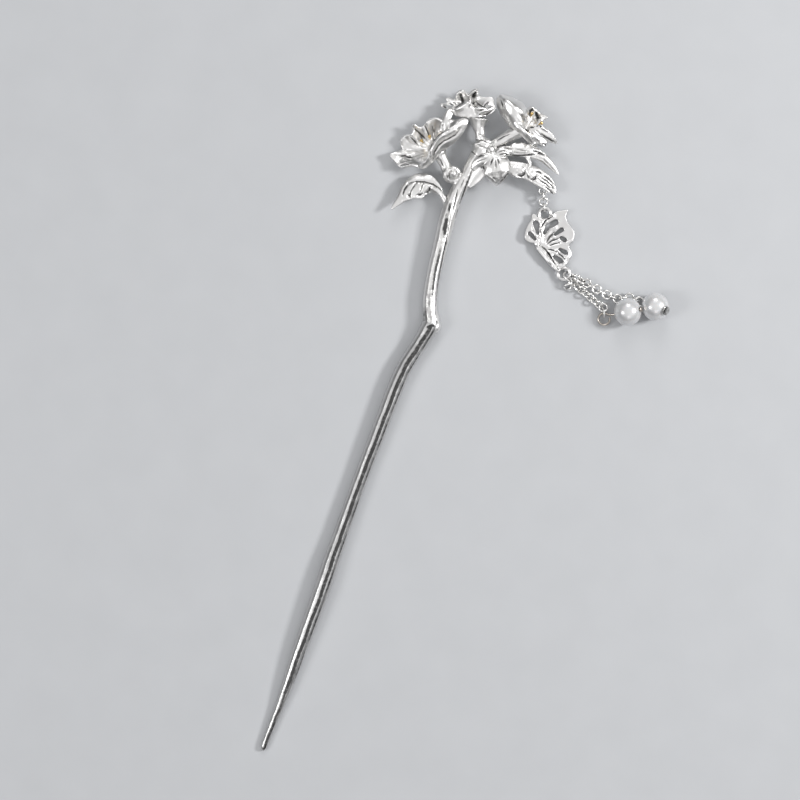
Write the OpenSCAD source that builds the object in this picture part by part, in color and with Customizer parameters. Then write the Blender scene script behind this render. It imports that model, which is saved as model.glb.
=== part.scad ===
// Buyao hairpin: a cast stick with a spray of trumpet flowers and leaves,
// and a hanging drop of fine chain, a pierced butterfly and two pearls.
// It lies as it rests on a table: +Z up, the shaft along +Y, its tip at the origin.

/* [Stick] */
// Length of the straight shaft, from its tip to the bend
shaft_l = 114.5; // [90:0.5:140]
// Nominal thickness of the stick
stick_d = 4; // [3:0.1:5]
// Thickness of the rounded tip
tip_d = 1.1; // [0.8:0.1:2]
// Length of the neck, from the bend to the fork of the spray
neck_l = 32.5; // [24:0.5:40]
// Angle between the shaft and the spray's upright
lean = 21.5; // [10:0.5:30]
// Height of the stick's centre line at the bend
bend_z = 2.4; // [2.2:0.1:4]
// Height of the fork's centre line
fork_z = 2.9; // [2.4:0.1:4]

/* [Spray] */
// Nominal width of the spray, over which the branches spread
spray_w = 40; // [34:0.5:46]
// Height of the spray's relief above the table
relief_h = 8; // [7:0.1:9]
// Width of the left trumpet flower
flower_left_w = 20; // [17:0.5:23]
// Width of the top flower
flower_top_w = 15; // [13:0.5:17]
// Width of the right flower
flower_right_w = 15; // [13:0.5:17]
// Width of the small front flower
flower_small_w = 10; // [8:0.5:11]
// Thickness of a flower stem at its narrowest
stem_d = 2.6; // [2.2:0.1:3.2]
// Thickness of a petal
petal_t = 0.8; // [0.6:0.05:1]
// Length of the left leaf
leaf_left_l = 16; // [13:0.5:19]
// Length of the long upper right leaf
leaf_long_l = 15; // [13:0.5:17]
// Length of the lower right leaf, which carries the drop
leaf_low_l = 15; // [13:0.5:17]
// Thickness of a leaf
leaf_t = 0.9; // [0.7:0.05:1.2]
// Thickness of a leaf's raised veins
vein_d = 0.5; // [0.3:0.05:0.7]

/* [Stamens] */
// Length of a gold stamen
stamen_l = 1.5; // [1.2:0.1:2]
// Thickness of its thread
stamen_wire = 0.4; // [0.3:0.05:0.5]
// Diameter of its bead
stamen_bead_d = 0.9; // [0.7:0.05:1.1]
// Gap between a stamen's foot and the petals that it stands in
stamen_gap = 0.12; // [0.05:0.01:0.3]

/* [Chain] */
// Outer diameter of a chain link
link_d = 2.5; // [2.3:0.05:2.8]
// Wire diameter of a chain link
link_wire = 0.45; // [0.3:0.05:0.5]
// Play between two links that hang in each other
link_play = 0.1; // [0.05:0.01:0.2]
// Outer diameter of the cast eye on the lower right leaf
eye_d = 2.3; // [2:0.05:2.8]
// Wire thickness of the cast eye
eye_wire = 0.45; // [0.35:0.05:0.55]
// Outer diameter of the jump ring under the butterfly
ring_d = 3.5; // [3.3:0.1:4]
// Wire diameter of the jump ring
ring_wire = 0.5; // [0.4:0.05:0.55]

/* [Butterfly] */
// Nominal length of the butterfly, from loop to loop
butterfly_l = 15; // [13:0.5:17]
// Thickness of its plate
butterfly_t = 1.2; // [1:0.1:1.4]
// Outer diameter of its two loops
loop_d = 3.9; // [3.7:0.1:4.4]
// Wire thickness of the loops
loop_wire = 0.9; // [0.7:0.05:1]
// Width of its engraved lines
groove_w = 0.35; // [0.25:0.05:0.5]
// Height of the plate's middle above the table
butterfly_z = 1.2; // [1.2:0.1:1.6]

/* [Pearls] */
// Diameter of a pearl
pearl_d = 6.9; // [6.5:0.1:7.3]
// Diameter of the bore through a pearl
pearl_bore = 0.9; // [0.8:0.05:1.2]
// Gap between the two pearls that lie side by side
pearl_gap = 0.1; // [0.05:0.01:0.3]
// Wire diameter of a head pin
pin_wire = 0.55; // [0.4:0.05:0.6]
// Outer diameter of a head pin's eye loop
pin_eye_d = 3.45; // [3.2:0.05:3.8]
// Outer diameter of the far head pin's smaller eye loop
pin_eye_far_d = 2.9; // [2.7:0.05:3.2]
// Diameter of the head pin's flat head on the near pearl
head_near_d = 1.3; // [1.1:0.1:1.6]
// Diameter of the head pin's flat head on the far pearl
head_far_d = 2.3; // [1.8:0.1:2.6]
// Thickness of a flat head
head_t = 0.4; // [0.3:0.05:0.6]
// Gap between a head and its pearl
head_gap = 0.1; // [0.05:0.01:0.2]

/* [Hidden] */

silver = [0.86, 0.86, 0.85];
gold = [0.86, 0.66, 0.25];
pearl_white = [0.95, 0.94, 0.92];
round_fn = 32;

// Centre-line radii of the rings
link_r = (link_d - link_wire) / 2;
eye_r = (eye_d - eye_wire) / 2;
ring_r = (ring_d - ring_wire) / 2;
loop_r = (loop_d - loop_wire) / 2;
pin_eye_r = (pin_eye_d - pin_wire) / 2;
pin_eye_far_r = (pin_eye_far_d - pin_wire) / 2;
// Distance between the middles of two rings that hang in each other, and between the
// middle of a ring and a wire that it hangs on
function hang(ra, wa, rb, wb) = ra + rb - (wa + wb) / 2 - link_play;
function on_wire(ra, wa, wb) = ra - (wa + wb) / 2 - link_play;
link_pitch = hang(link_r, link_wire, link_r, link_wire);

// The shaft, from tip to bend. Columns: place along the shaft (share of shaft_l),
// sideways bow and width (shares of stick_d).
SHAFT = [
    [0.012, -0.03, 0.40],
    [0.055, -0.04, 0.45],
    [0.100, -0.03, 0.53],
    [0.160, -0.06, 0.70],
    [0.230, -0.14, 0.84],
    [0.310, -0.19, 0.95],
    [0.390, -0.26, 1.01],
    [0.450, -0.36, 0.96],
    [0.510, -0.42, 0.89],
    [0.570, -0.48, 0.87],
    [0.640, -0.54, 0.85],
    [0.710, -0.56, 0.90],
    [0.780, -0.58, 0.92],
    [0.855, -0.60, 0.96],
    [0.910, -0.50, 0.95],
    [0.955, -0.17, 0.95],
    [1.000, 0.02, 1.10]
];

// The neck, from bend to fork, in the spray's own axes. Columns: place up the neck
// (share of neck_l), sideways place (share of neck_l), width (share of stick_d).
NECK = [
    [0.030, 0.010, 1.05],
    [0.110, 0.000, 0.92],
    [0.220, 0.000, 0.88],
    [0.340, 0.015, 0.84],
    [0.460, 0.040, 0.86],
    [0.580, 0.070, 0.90],
    [0.700, 0.100, 0.96],
    [0.800, 0.125, 1.02],
    [0.900, 0.155, 1.00],
    [1.000, 0.190, 0.98]
];

// The trunk above the fork. Columns: x, y from the fork (shares of spray_w),
// height (share of relief_h), width (share of stick_d).
TRUNK = [
    [0.030, 0.050, 0.38, 0.95],
    [0.065, 0.105, 0.40, 0.94],
    [0.100, 0.165, 0.42, 1.00],
    [0.135, 0.220, 0.45, 1.12],
    [0.165, 0.270, 0.46, 1.18],
    [0.175, 0.310, 0.46, 1.05]
];

// Flower stems. Columns: x, y from the fork (shares of spray_w), height
// (share of relief_h), width (share of stem_d).
STEM_LEFT = [
    [0.035, 0.060, 0.40, 1.00],
    [0.000, 0.100, 0.40, 1.05],
    [-0.028, 0.136, 0.41, 1.42],
    [-0.044, 0.158, 0.42, 1.15],
    [-0.062, 0.198, 0.43, 1.08],
    [-0.086, 0.240, 0.46, 1.20],
    [-0.102, 0.266, 0.48, 1.58]
];
STEM_TOP = [
    [0.172, 0.300, 0.45, 1.55],
    [0.170, 0.320, 0.45, 1.92],
    [0.168, 0.334, 0.45, 1.80],
    [0.164, 0.346, 0.45, 1.20],
    [0.158, 0.362, 0.46, 0.96],
    [0.154, 0.400, 0.47, 1.02],
    [0.148, 0.440, 0.48, 1.22],
    [0.140, 0.478, 0.49, 1.70]
];
STEM_RIGHT = [
    [0.175, 0.260, 0.47, 1.45],
    [0.230, 0.300, 0.49, 1.28],
    [0.300, 0.345, 0.51, 1.22],
    [0.360, 0.383, 0.52, 1.30],
    [0.412, 0.412, 0.54, 1.64]
];
// The stem of the left leaf, and the twigs of the two right leaves under the small flower
LEAF_STEM = [
    [-0.030, -0.150, 0.36, 0.62],
    [-0.040, -0.090, 0.37, 0.66],
    [-0.062, -0.030, 0.38, 0.60],
    [-0.088, 0.015, 0.39, 0.50],
    [-0.120, 0.050, 0.39, 0.34]
];
TWIG_LONG = [
    [0.160, 0.262, 0.45, 0.66],
    [0.235, 0.266, 0.53, 0.62],
    [0.306, 0.269, 0.61, 0.52],
    [0.345, 0.272, 0.62, 0.36]
];
TWIG_LOW = [
    [0.160, 0.240, 0.45, 0.66],
    [0.245, 0.222, 0.51, 0.62],
    [0.325, 0.194, 0.57, 0.52],
    [0.362, 0.178, 0.57, 0.36]
];

// The three open flowers. Each row is one fold line or petal tip, round the throat.
// Columns: place of its root round the throat (degrees), then the crest and the rim of
// the fold: x, y from the throat (shares of the flower's width), height (share of relief_h).
FLOWER_LEFT = [
    [195, -0.42, -0.02, 0.24, -0.60, -0.01, 0.26],
    [210, -0.38, 0.06, 0.17, -0.47, 0.14, 0.27],
    [225, -0.31, 0.11, 0.17, -0.42, 0.21, 0.31],
    [237, -0.26, 0.12, 0.30, -0.32, 0.23, 0.41],
    [248, -0.23, 0.16, 0.24, -0.31, 0.34, 0.50],
    [262, -0.18, 0.17, 0.17, -0.21, 0.31, 0.37],
    [280, -0.12, 0.20, 0.32, -0.12, 0.39, 0.54],
    [298, -0.06, 0.22, 0.20, -0.02, 0.42, 0.57],
    [315, 0.00, 0.23, 0.34, 0.06, 0.39, 0.62],
    [340, 0.10, 0.29, 0.55, 0.19, 0.39, 0.69],
    [5, 0.24, 0.32, 0.82, 0.37, 0.38, 0.78],
    [30, 0.14, 0.26, 0.93, 0.29, 0.20, 0.72],
    [58, 0.01, 0.18, 0.97, 0.18, 0.09, 0.66],
    [90, -0.07, 0.07, 0.96, 0.03, -0.02, 0.64],
    [120, -0.12, -0.06, 0.88, -0.08, -0.14, 0.62],
    [142, -0.17, -0.15, 0.74, -0.19, -0.21, 0.58],
    [160, -0.26, -0.11, 0.46, -0.33, -0.18, 0.51],
    [173, -0.34, -0.10, 0.40, -0.46, -0.20, 0.42],
    [185, -0.39, -0.08, 0.26, -0.55, -0.11, 0.30]
];
FLOWER_TOP = [
    [190, -0.40, 0.17, 0.44, -0.60, 0.22, 0.34],
    [203, -0.333, 0.200, 0.365, -0.47, 0.24, 0.30],
    [215, -0.310, 0.235, 0.250, -0.49, 0.33, 0.23],
    [227, -0.255, 0.247, 0.230, -0.35, 0.30, 0.26],
    [238, -0.237, 0.292, 0.240, -0.34, 0.40, 0.38],
    [250, -0.17, 0.29, 0.20, -0.22, 0.44, 0.56],
    [262, -0.12, 0.28, 0.34, -0.14, 0.37, 0.44],
    [278, -0.05, 0.29, 0.25, 0.02, 0.47, 0.49],
    [298, 0.02, 0.26, 0.37, 0.06, 0.34, 0.45],
    [325, 0.10, 0.22, 0.45, 0.27, 0.32, 0.50],
    [0, 0.16, 0.16, 0.58, 0.33, 0.13, 0.58],
    [35, 0.11, 0.12, 0.76, 0.22, 0.05, 0.62],
    [65, 0.02, 0.12, 0.84, 0.06, -0.02, 0.70],
    [92, -0.05, 0.13, 0.72, -0.05, -0.02, 0.66],
    [120, -0.12, 0.22, 0.86, -0.14, -0.04, 0.70],
    [148, -0.25, 0.19, 0.83, -0.30, -0.01, 0.60],
    [172, -0.37, 0.15, 0.68, -0.45, 0.09, 0.50]
];
FLOWER_RIGHT = [
    [165, -0.20, 0.28, 0.93, -0.40, 0.53, 0.62],
    [183, -0.10, 0.29, 0.83, -0.20, 0.48, 0.55],
    [200, -0.05, 0.24, 0.77, -0.03, 0.40, 0.57],
    [218, 0.02, 0.16, 0.72, 0.07, 0.29, 0.64],
    [236, 0.06, 0.18, 0.45, 0.09, 0.33, 0.55],
    [258, 0.13, 0.20, 0.27, 0.16, 0.36, 0.45],
    [280, 0.20, 0.19, 0.25, 0.25, 0.28, 0.42],
    [300, 0.24, 0.16, 0.33, 0.42, 0.20, 0.38],
    [322, 0.21, 0.11, 0.40, 0.30, 0.11, 0.43],
    [345, 0.21, 0.06, 0.62, 0.31, 0.03, 0.67],
    [5, 0.24, -0.04, 0.58, 0.46, -0.05, 0.52],
    [20, 0.28, -0.11, 0.52, 0.58, -0.24, 0.33],
    [38, 0.21, -0.15, 0.57, 0.36, -0.29, 0.37],
    [55, 0.13, -0.17, 0.60, 0.20, -0.32, 0.40],
    [75, 0.02, -0.09, 0.77, 0.00, -0.15, 0.62],
    [95, -0.08, 0.00, 0.82, -0.15, -0.03, 0.67],
    [115, -0.15, 0.11, 0.80, -0.28, 0.11, 0.57],
    [132, -0.20, 0.20, 0.82, -0.38, 0.27, 0.52],
    [148, -0.22, 0.27, 0.87, -0.43, 0.42, 0.53]
];

// Leaves and single petals. Each row is one cross-section. Columns: x, y from the root
// (shares of the length), height (share of relief_h), half widths to the left and the
// right of the way to the tip (shares of the length), edge drops (shares of relief_h).
LEAF_LEFT = [
    [0.00, 0.00, 0.38, 0.03, 0.04, 0.02, 0.02],
    [-0.11, 0.09, 0.39, 0.07, 0.11, 0.05, 0.04],
    [-0.22, 0.13, 0.41, 0.14, 0.17, 0.07, 0.08],
    [-0.35, 0.12, 0.42, 0.20, 0.18, 0.10, 0.11],
    [-0.49, 0.05, 0.41, 0.15, 0.14, 0.09, 0.09],
    [-0.61, -0.08, 0.38, 0.06, 0.07, 0.04, 0.05],
    [-0.77, -0.24, 0.35, 0.01, 0.01, 0.00, 0.00]
];
LEAF_LONG = [
    [0.00, 0.00, 0.62, 0.05, 0.05, 0.04, 0.04],
    [0.15, 0.02, 0.63, 0.09, 0.08, 0.07, 0.04],
    [0.32, 0.02, 0.62, 0.10, 0.09, 0.09, 0.03],
    [0.48, -0.01, 0.57, 0.08, 0.08, 0.08, 0.05],
    [0.65, -0.09, 0.50, 0.07, 0.06, 0.06, 0.06],
    [0.78, -0.21, 0.43, 0.05, 0.04, 0.04, 0.04],
    [0.91, -0.36, 0.37, 0.01, 0.01, 0.00, 0.00]
];
LEAF_LOW = [
    [0.00, 0.00, 0.58, 0.05, 0.08, 0.03, 0.04],
    [0.15, -0.07, 0.57, 0.11, 0.14, 0.05, 0.08],
    [0.30, -0.12, 0.54, 0.13, 0.11, 0.06, 0.07],
    [0.47, -0.20, 0.49, 0.15, 0.11, 0.08, 0.05],
    [0.63, -0.30, 0.42, 0.13, 0.10, 0.07, 0.05],
    [0.74, -0.39, 0.37, 0.08, 0.07, 0.04, 0.03],
    [0.80, -0.48, 0.35, 0.02, 0.02, 0.00, 0.00]
];
SMALL_DOWN = [
    [0.04, 0.05, 0.76, 0.08, 0.08, 0.02, 0.02],
    [0.04, -0.10, 0.86, 0.30, 0.26, 0.12, 0.12],
    [0.04, -0.30, 0.91, 0.34, 0.34, 0.15, 0.16],
    [0.05, -0.48, 0.88, 0.27, 0.27, 0.12, 0.12],
    [0.05, -0.62, 0.74, 0.15, 0.15, 0.06, 0.06],
    [0.05, -0.73, 0.58, 0.03, 0.03, 0.00, 0.00]
];
SMALL_LEFT = [
    [0.00, -0.02, 0.80, 0.09, 0.09, 0.03, 0.03],
    [-0.22, -0.06, 0.84, 0.12, 0.10, 0.06, 0.04],
    [-0.42, -0.16, 0.76, 0.12, 0.10, 0.07, 0.06],
    [-0.54, -0.34, 0.62, 0.06, 0.05, 0.03, 0.03]
];
SMALL_RIGHT = [
    [0.02, 0.00, 0.80, 0.10, 0.08, 0.04, 0.03],
    [0.20, 0.08, 0.86, 0.13, 0.10, 0.07, 0.05],
    [0.38, 0.10, 0.76, 0.10, 0.09, 0.06, 0.05],
    [0.46, 0.08, 0.66, 0.04, 0.04, 0.00, 0.00]
];
SMALL_UP = [
    [0.00, 0.00, 0.78, 0.10, 0.10, 0.03, 0.03],
    [-0.10, 0.14, 0.82, 0.15, 0.15, 0.06, 0.06],
    [-0.18, 0.28, 0.70, 0.07, 0.07, 0.02, 0.02]
];
BRACT = [
    [-0.30, -0.30, 0.66, 0.16, 0.14, 0.05, 0.05],
    [-0.48, -0.52, 0.55, 0.16, 0.12, 0.05, 0.05],
    [-0.62, -0.76, 0.44, 0.03, 0.03, 0.00, 0.00]
];
// The petal between the left and the top flower, from the left flower's throat
BACK_PETAL = [
    [0.02, 0.28, 0.60, 0.08, 0.08, 0.03, 0.03],
    [0.06, 0.35, 0.64, 0.07, 0.09, 0.04, 0.04],
    [0.11, 0.43, 0.62, 0.05, 0.06, 0.04, 0.04],
    [0.17, 0.51, 0.54, 0.04, 0.05, 0.03, 0.03],
    [0.24, 0.56, 0.48, 0.02, 0.02, 0.00, 0.00]
];

// Side veins of the leaves. Columns: place along the midrib, reach to the left or
// right edge (minus is left), both as shares.
VEINS = [
    [0.22, 0.75], [0.38, 0.80], [0.54, 0.80], [0.70, 0.70],
    [0.26, -0.75], [0.42, -0.80], [0.58, -0.80], [0.72, -0.70]
];

// The thin bridge from the long right leaf to the low one. Columns: place along the leaf
// (rows of its table), place across it (share of its half width, minus is left).
BRIDGE = [[2.2, 0.70], [2.4, -0.50]];
BRIDGE_WIDTH = 0.34;

// Anchors on the spray. Columns: x, y from the fork (shares of spray_w).
THROAT_LEFT = [-0.106, 0.275];
THROAT_TOP = [0.131, 0.494];
THROAT_RIGHT = [0.425, 0.419];
SMALL_CENTRE = [0.244, 0.244];
LEAF_LEFT_ROOT = [-0.088, 0.015];
LEAF_LONG_ROOT = [0.306, 0.269];
LEAF_LOW_ROOT = [0.325, 0.194];

// The eye sits at the low leaf's lower edge. Columns: x, y from the leaf's root
// (shares of leaf_low_l), height (share of relief_h).
EYE_SEAT = [0.60, -0.425, 0.33];

// Stamens. Columns: x, y from the throat (shares of the flower's width), foot height
// (share of relief_h), heading and rise of the thread (degrees).
STAMENS_LEFT = [[-0.095, 0.150, 0.44, 110, 62], [-0.180, 0.110, 0.41, 140, 62]];
STAMENS_RIGHT = [[0.130, 0.195, 0.42, 70, 60], [0.245, 0.045, 0.74, 20, 60]];

// Heading of the top links, from the eye to the butterfly
TOP_HEADING = -84;

// The butterfly's outline. Columns: x, y from the upper loop (shares of butterfly_l).
WINGS = [
    [-0.20, 0.01], [-0.21, -0.08], [-0.28, -0.17], [-0.32, -0.27], [-0.34, -0.37],
    [-0.31, -0.44], [-0.22, -0.48], [-0.14, -0.475], [-0.07, -0.58], [0.03, -0.71],
    [0.12, -0.83], [0.20, -0.94], [0.28, -0.91], [0.34, -0.86], [0.39, -0.80],
    [0.43, -0.72], [0.44, -0.62], [0.40, -0.54], [0.46, -0.46], [0.49, -0.37],
    [0.48, -0.28], [0.43, -0.20], [0.375, -0.125], [0.35, -0.05], [0.37, 0.025],
    [0.385, 0.07], [0.28, 0.06], [0.20, 0.045], [0.13, 0.00], [0.05, -0.085],
    [-0.07, -0.085], [-0.15, -0.04]
];
// Pierced slots. Columns: x, y, radius of one end and of the other (shares of butterfly_l).
SLOTS = [
    [-0.150, -0.160, 0.047, -0.120, -0.320, 0.013],
    [-0.250, -0.325, 0.030, -0.170, -0.420, 0.017],
    [-0.010, -0.320, 0.013, 0.050, -0.205, 0.033],
    [0.049, -0.207, 0.034, 0.180, -0.135, 0.042],
    [0.170, -0.340, 0.017, 0.280, -0.260, 0.032],
    [0.280, -0.395, 0.025, 0.330, -0.435, 0.030],
    [0.250, -0.590, 0.020, 0.350, -0.645, 0.030],
    [0.160, -0.710, 0.025, 0.260, -0.780, 0.037]
];
// Engraved lines. Columns: x, y of one end and of the other (shares of butterfly_l).
GROOVES = [
    [-0.13, -0.43, -0.22, -0.28], [-0.06, -0.47, -0.08, -0.20], [0.01, -0.46, 0.10, -0.31],
    [0.06, -0.50, 0.20, -0.45], [0.06, -0.56, 0.20, -0.60], [0.04, -0.62, 0.12, -0.70]
];
// Middle of the lower loop from the upper one (shares of butterfly_l)
LOW_LOOP = [0.317, -0.99];

// The near chain, link after link. Columns: heading to the next link (degrees),
// roll of the link about the chain (degrees), height.
NEAR_CHAIN = [
    [-60, 41, 1.58],
    [-39, 135, 1.22],
    [-37, 45, 1.02],
    [-41, 135, 1.02],
    [-40, 45, 1.02],
    [-41, 135, 1.02],
    [-33, 40, 1.04],
    [-88, 100, 1.12],
    [-84, 5, 1.26]
];
// Where the near chain starts, from the jump ring's middle
NEAR_START = [1.30, -1.33];
// The two spare links. Columns: x, y from the jump ring's middle, height, heading, roll.
SPARE_LINKS = [[0.22, -1.60, 2.12, -86, 12], [-0.18, -2.50, 1.12, 12, 34]];
// The far chain's route. Columns: place along its span, sideways place (shares of the
// span), height, roll of the link there (degrees).
FAR_ROUTE = [
    [0.000, 0.000, 1.12, 42],
    [0.092, -0.006, 1.20, 145],
    [0.184, -0.016, 0.98, 70],
    [0.276, -0.032, 1.25, 168],
    [0.368, -0.050, 1.00, 80],
    [0.460, -0.067, 1.25, 170],
    [0.552, -0.079, 1.00, 85],
    [0.644, -0.084, 1.26, 175],
    [0.736, -0.081, 1.00, 90],
    [0.816, -0.036, 1.26, 0],
    [0.905, 0.004, 1.20, 70],
    [1.000, 0.000, 1.26, 170]
];
// Where the far chain starts, from the jump ring's middle
FAR_START = [1.78, -0.42];
// Where the far chain's last link hangs on the far pin's eye loop (degrees)
FAR_HEADING = 152;
// The jump ring stands askew: heading of its long axis, lean from upright, height
RING_POSE = [-30, 45, 1.46];
// How far the jump ring's middle stands outside the loop's wire
RING_OUT = 0.06;
// Head pins. Columns: heading of the run after the eye loop, its length, heading and rise
// of the pin through the pearl, height of the eye loop, where on the loop the run starts.
PIN_NEAR = [-7, 0.82, 10, 32, 0.95, 50];
PIN_FAR = [-3, 0.35, -27, 46, 0.8, -3];
// Heading from the near pearl to the far one
PEARLS_HEADING = 11;

// Vector and curve helpers
function unit(v) = v / norm(v);
function flat(a) = [cos(a), sin(a), 0];
function aim(heading, rise) = [cos(heading) * cos(rise), sin(heading) * cos(rise), sin(rise)];
function curve(a, b, c, d, t) =
    (2 * b + (c - a) * t + (2 * a - 5 * b + 4 * c - d) * t * t
    + (3 * b - a - 3 * c + d) * t * t * t) / 2;
function open_at(rows, t) =
    let (last = len(rows) - 1, i = min(floor(t), last - 1))
    curve(rows[max(i - 1, 0)], rows[i], rows[i + 1], rows[min(i + 2, last)], t - i);
function ring_at(rows, t) =
    let (n = len(rows), i = floor(t) % n)
    curve(rows[(i + n - 1) % n], rows[i], rows[(i + 1) % n], rows[(i + 2) % n], t - floor(t));
function open_curve(rows, steps) =
    [for (k = [0 : steps]) open_at(rows, k * (len(rows) - 1) / steps)];

// A round bar swept through rows of [x, y, z, width]
module bar(rows, sides = 10) {
    last = len(rows) - 1;
    points = [
        for (i = [0 : last])
            let (
                ahead = rows[min(i + 1, last)] - rows[max(i - 1, 0)],
                way = unit([ahead[0], ahead[1], ahead[2]]),
                side = unit(cross(way, [0, 0, 1])),
                up = cross(side, way),
                middle = [rows[i][0], rows[i][1], rows[i][2]]
            )
            for (k = [0 : sides - 1])
                middle + (side * cos(k * 360 / sides) + up * sin(k * 360 / sides)) * rows[i][3] / 2
    ];
    walls = [
        for (i = [0 : last - 1], k = [0 : sides - 1])
            let (
                a = i * sides + k,
                b = a + sides,
                c = (i + 1) * sides + (k + 1) % sides,
                d = c - sides
            )
            [a, d, c, b]
    ];
    ends = [
        [for (k = [sides - 1 : -1 : 0]) k],
        [for (k = [0 : sides - 1]) last * sides + k]
    ];
    polyhedron(points, concat(walls, ends), convexity = 6);
}

// A thin wall of thickness t on both sides of a grid of points, closed round if wrapped
module wall(grid, t, wrapped = false) {
    last = len(grid) - 1;
    across = len(grid[0]);
    spans = wrapped ? across : across - 1;
    function before(k) = wrapped ? (k + across - 1) % across : max(k - 1, 0);
    function after(k) = wrapped ? (k + 1) % across : min(k + 1, across - 1);
    function outward(j, k) = unit(cross(
        grid[min(j + 1, last)][k] - grid[max(j - 1, 0)][k],
        grid[j][after(k)] - grid[j][before(k)]));
    function at(side, j, k) = (side * (last + 1) + j) * across + k;
    points = [
        for (side = [0, 1], j = [0 : last], k = [0 : across - 1])
            grid[j][k] + outward(j, k) * (side == 0 ? t / 2 : -t / 2)
    ];
    skins = [
        for (j = [0 : last - 1], k = [0 : spans - 1])
            let (m = after(k))
            each [
                [at(0, j, k), at(0, j, m), at(0, j + 1, m)],
                [at(0, j, k), at(0, j + 1, m), at(0, j + 1, k)],
                [at(1, j, k), at(1, j + 1, m), at(1, j, m)],
                [at(1, j, k), at(1, j + 1, k), at(1, j + 1, m)]
            ]
    ];
    rims = [
        for (k = [0 : spans - 1])
            let (m = after(k))
            each [
                [at(0, 0, m), at(0, 0, k), at(1, 0, k)],
                [at(0, 0, m), at(1, 0, k), at(1, 0, m)],
                [at(0, last, k), at(0, last, m), at(1, last, m)],
                [at(0, last, k), at(1, last, m), at(1, last, k)]
            ]
    ];
    sides = wrapped ? [] : [
        for (j = [0 : last - 1])
            let (e = across - 1)
            each [
                [at(0, j, 0), at(0, j + 1, 0), at(1, j + 1, 0)],
                [at(0, j, 0), at(1, j + 1, 0), at(1, j, 0)],
                [at(0, j + 1, e), at(0, j, e), at(1, j, e)],
                [at(0, j + 1, e), at(1, j, e), at(1, j + 1, e)]
            ]
    ];
    polyhedron(points, concat(skins, rims, sides), convexity = 10);
}

// Points of the table rows in millimetres, in the spray's axes
function fork() = [NECK[len(NECK) - 1][1] * neck_l, neck_l, fork_z];
function on_spray(x, y, z) = [fork()[0] + x * spray_w, fork()[1] + y * spray_w, z * relief_h];
function branch_rows(rows, width) =
    [for (r = rows) concat(on_spray(r[0], r[1], r[2]), [r[3] * width])];
function anchor(place) = on_spray(place[0], place[1], 0);

module branch(rows, width) {
    bar(open_curve(branch_rows(rows, width), 2 * (len(rows) - 1)));
}

// An open flower: its wall rises from the throat, over the crests to the wavy rim
module flower(rows, place, width, heading, rise, throat_z, throat_r) {
    middle = anchor(place) + [0, 0, throat_z * relief_h];
    axis = aim(heading, rise);
    side = [sin(heading), -cos(heading), 0];
    up = cross(side, axis);
    roots = [for (r = rows) middle + (side * cos(r[0]) + up * sin(r[0])) * throat_r];
    function spot(x, y, z) = [middle[0] + x * width, middle[1] + y * width, z * relief_h];
    crests = [for (r = rows) spot(r[1], r[2], r[3])];
    rims = [for (r = rows) spot(r[4], r[5], r[6])];
    around = 2 * len(rows);
    along = 6;
    grid = [
        for (j = [0 : along])
            [
                for (k = [0 : around - 1])
                    let (
                        root = ring_at(roots, k / 2),
                        lines = [root - axis * petal_t, root, ring_at(crests, k / 2), ring_at(rims, k / 2)]
                    )
                    open_at(lines, 0.5 + 2.5 * j / along)
            ]
    ];
    wall(grid, petal_t, wrapped = true);
}

// Points of a blade: a row of points across at each station along it
function blade_rows(rows, root, length) = [
    for (r = rows)
        [root[0] + r[0] * length, root[1] + r[1] * length, r[2] * relief_h,
         r[3] * length, r[4] * length, r[5] * relief_h, r[6] * relief_h]
];
function blade_point(lines, t, across) =
    let (
        last = len(lines) - 1,
        here = open_at(lines, t),
        ahead = open_at(lines, min(t + 0.05, last)) - open_at(lines, max(t - 0.05, 0)),
        left = unit([-ahead[1], ahead[0], 0]),
        reach = across < 0 ? here[3] : here[4],
        drop = across < 0 ? here[5] : here[6]
    )
    [here[0], here[1], here[2]] - left * across * reach - [0, 0, drop * across * across];

module blade(rows, root, length, t, steps = 9) {
    lines = blade_rows(rows, root, length);
    grid = [
        for (j = [0 : steps])
            [for (k = [-2 : 2]) blade_point(lines, j * (len(rows) - 1) / steps, k / 2)]
    ];
    wall(grid, t);
}

// Raised midrib and side veins of a leaf
module veins(rows, root, length) {
    lines = blade_rows(rows, root, length);
    last = len(rows) - 1;
    lift = [0, 0, leaf_t / 2];
    bar([for (k = [0 : 8]) concat(blade_point(lines, k * last / 8.5, 0) + lift, [vein_d * (1.4 - k / 10)])], 6);
    for (v = VEINS) {
        hull() {
            translate(blade_point(lines, v[0] * last, 0) + lift) sphere(d = vein_d, $fn = 5);
            translate(blade_point(lines, (v[0] + 0.13) * last, v[1]) + lift * 0.9) sphere(d = vein_d * 0.7, $fn = 5);
        }
    }
}

// Sepals round the knot of the left flower's stem
module sepals() {
    knot = on_spray(STEM_LEFT[2][0], STEM_LEFT[2][1], STEM_LEFT[2][2]);
    for (turn = [-75 : 50 : 125]) {
        hull() {
            translate(knot + aim(60 + turn, 20) * stem_d * 0.35) sphere(d = stem_d * 0.5, $fn = 6);
            translate(knot + aim(90 + turn, 10) * stem_d * 0.72) sphere(d = stem_d * 0.22, $fn = 6);
        }
    }
}

// A ring of wire: radius of its centre line, wire width, middle and normal
module ring(r, wire, middle, normal, sides = 48, wire_sides = 16) {
    tilt = acos(normal[2] / norm(normal));
    turn = atan2(normal[1], normal[0]);
    translate(middle) rotate([0, tilt, turn]) rotate_extrude($fn = sides)
        translate([r, 0]) circle(d = wire, $fn = wire_sides);
}

// A link of the chain: its plane holds the chain's way and turns about it by roll
function link_normal(way, roll) =
    let (side = unit(cross(way, [0, 0, 1])), up = cross(side, way))
    side * cos(roll) + up * sin(roll);
module link(middle, way, roll) {
    color(silver) ring(link_r, link_wire, middle, link_normal(way, roll));
}

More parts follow.
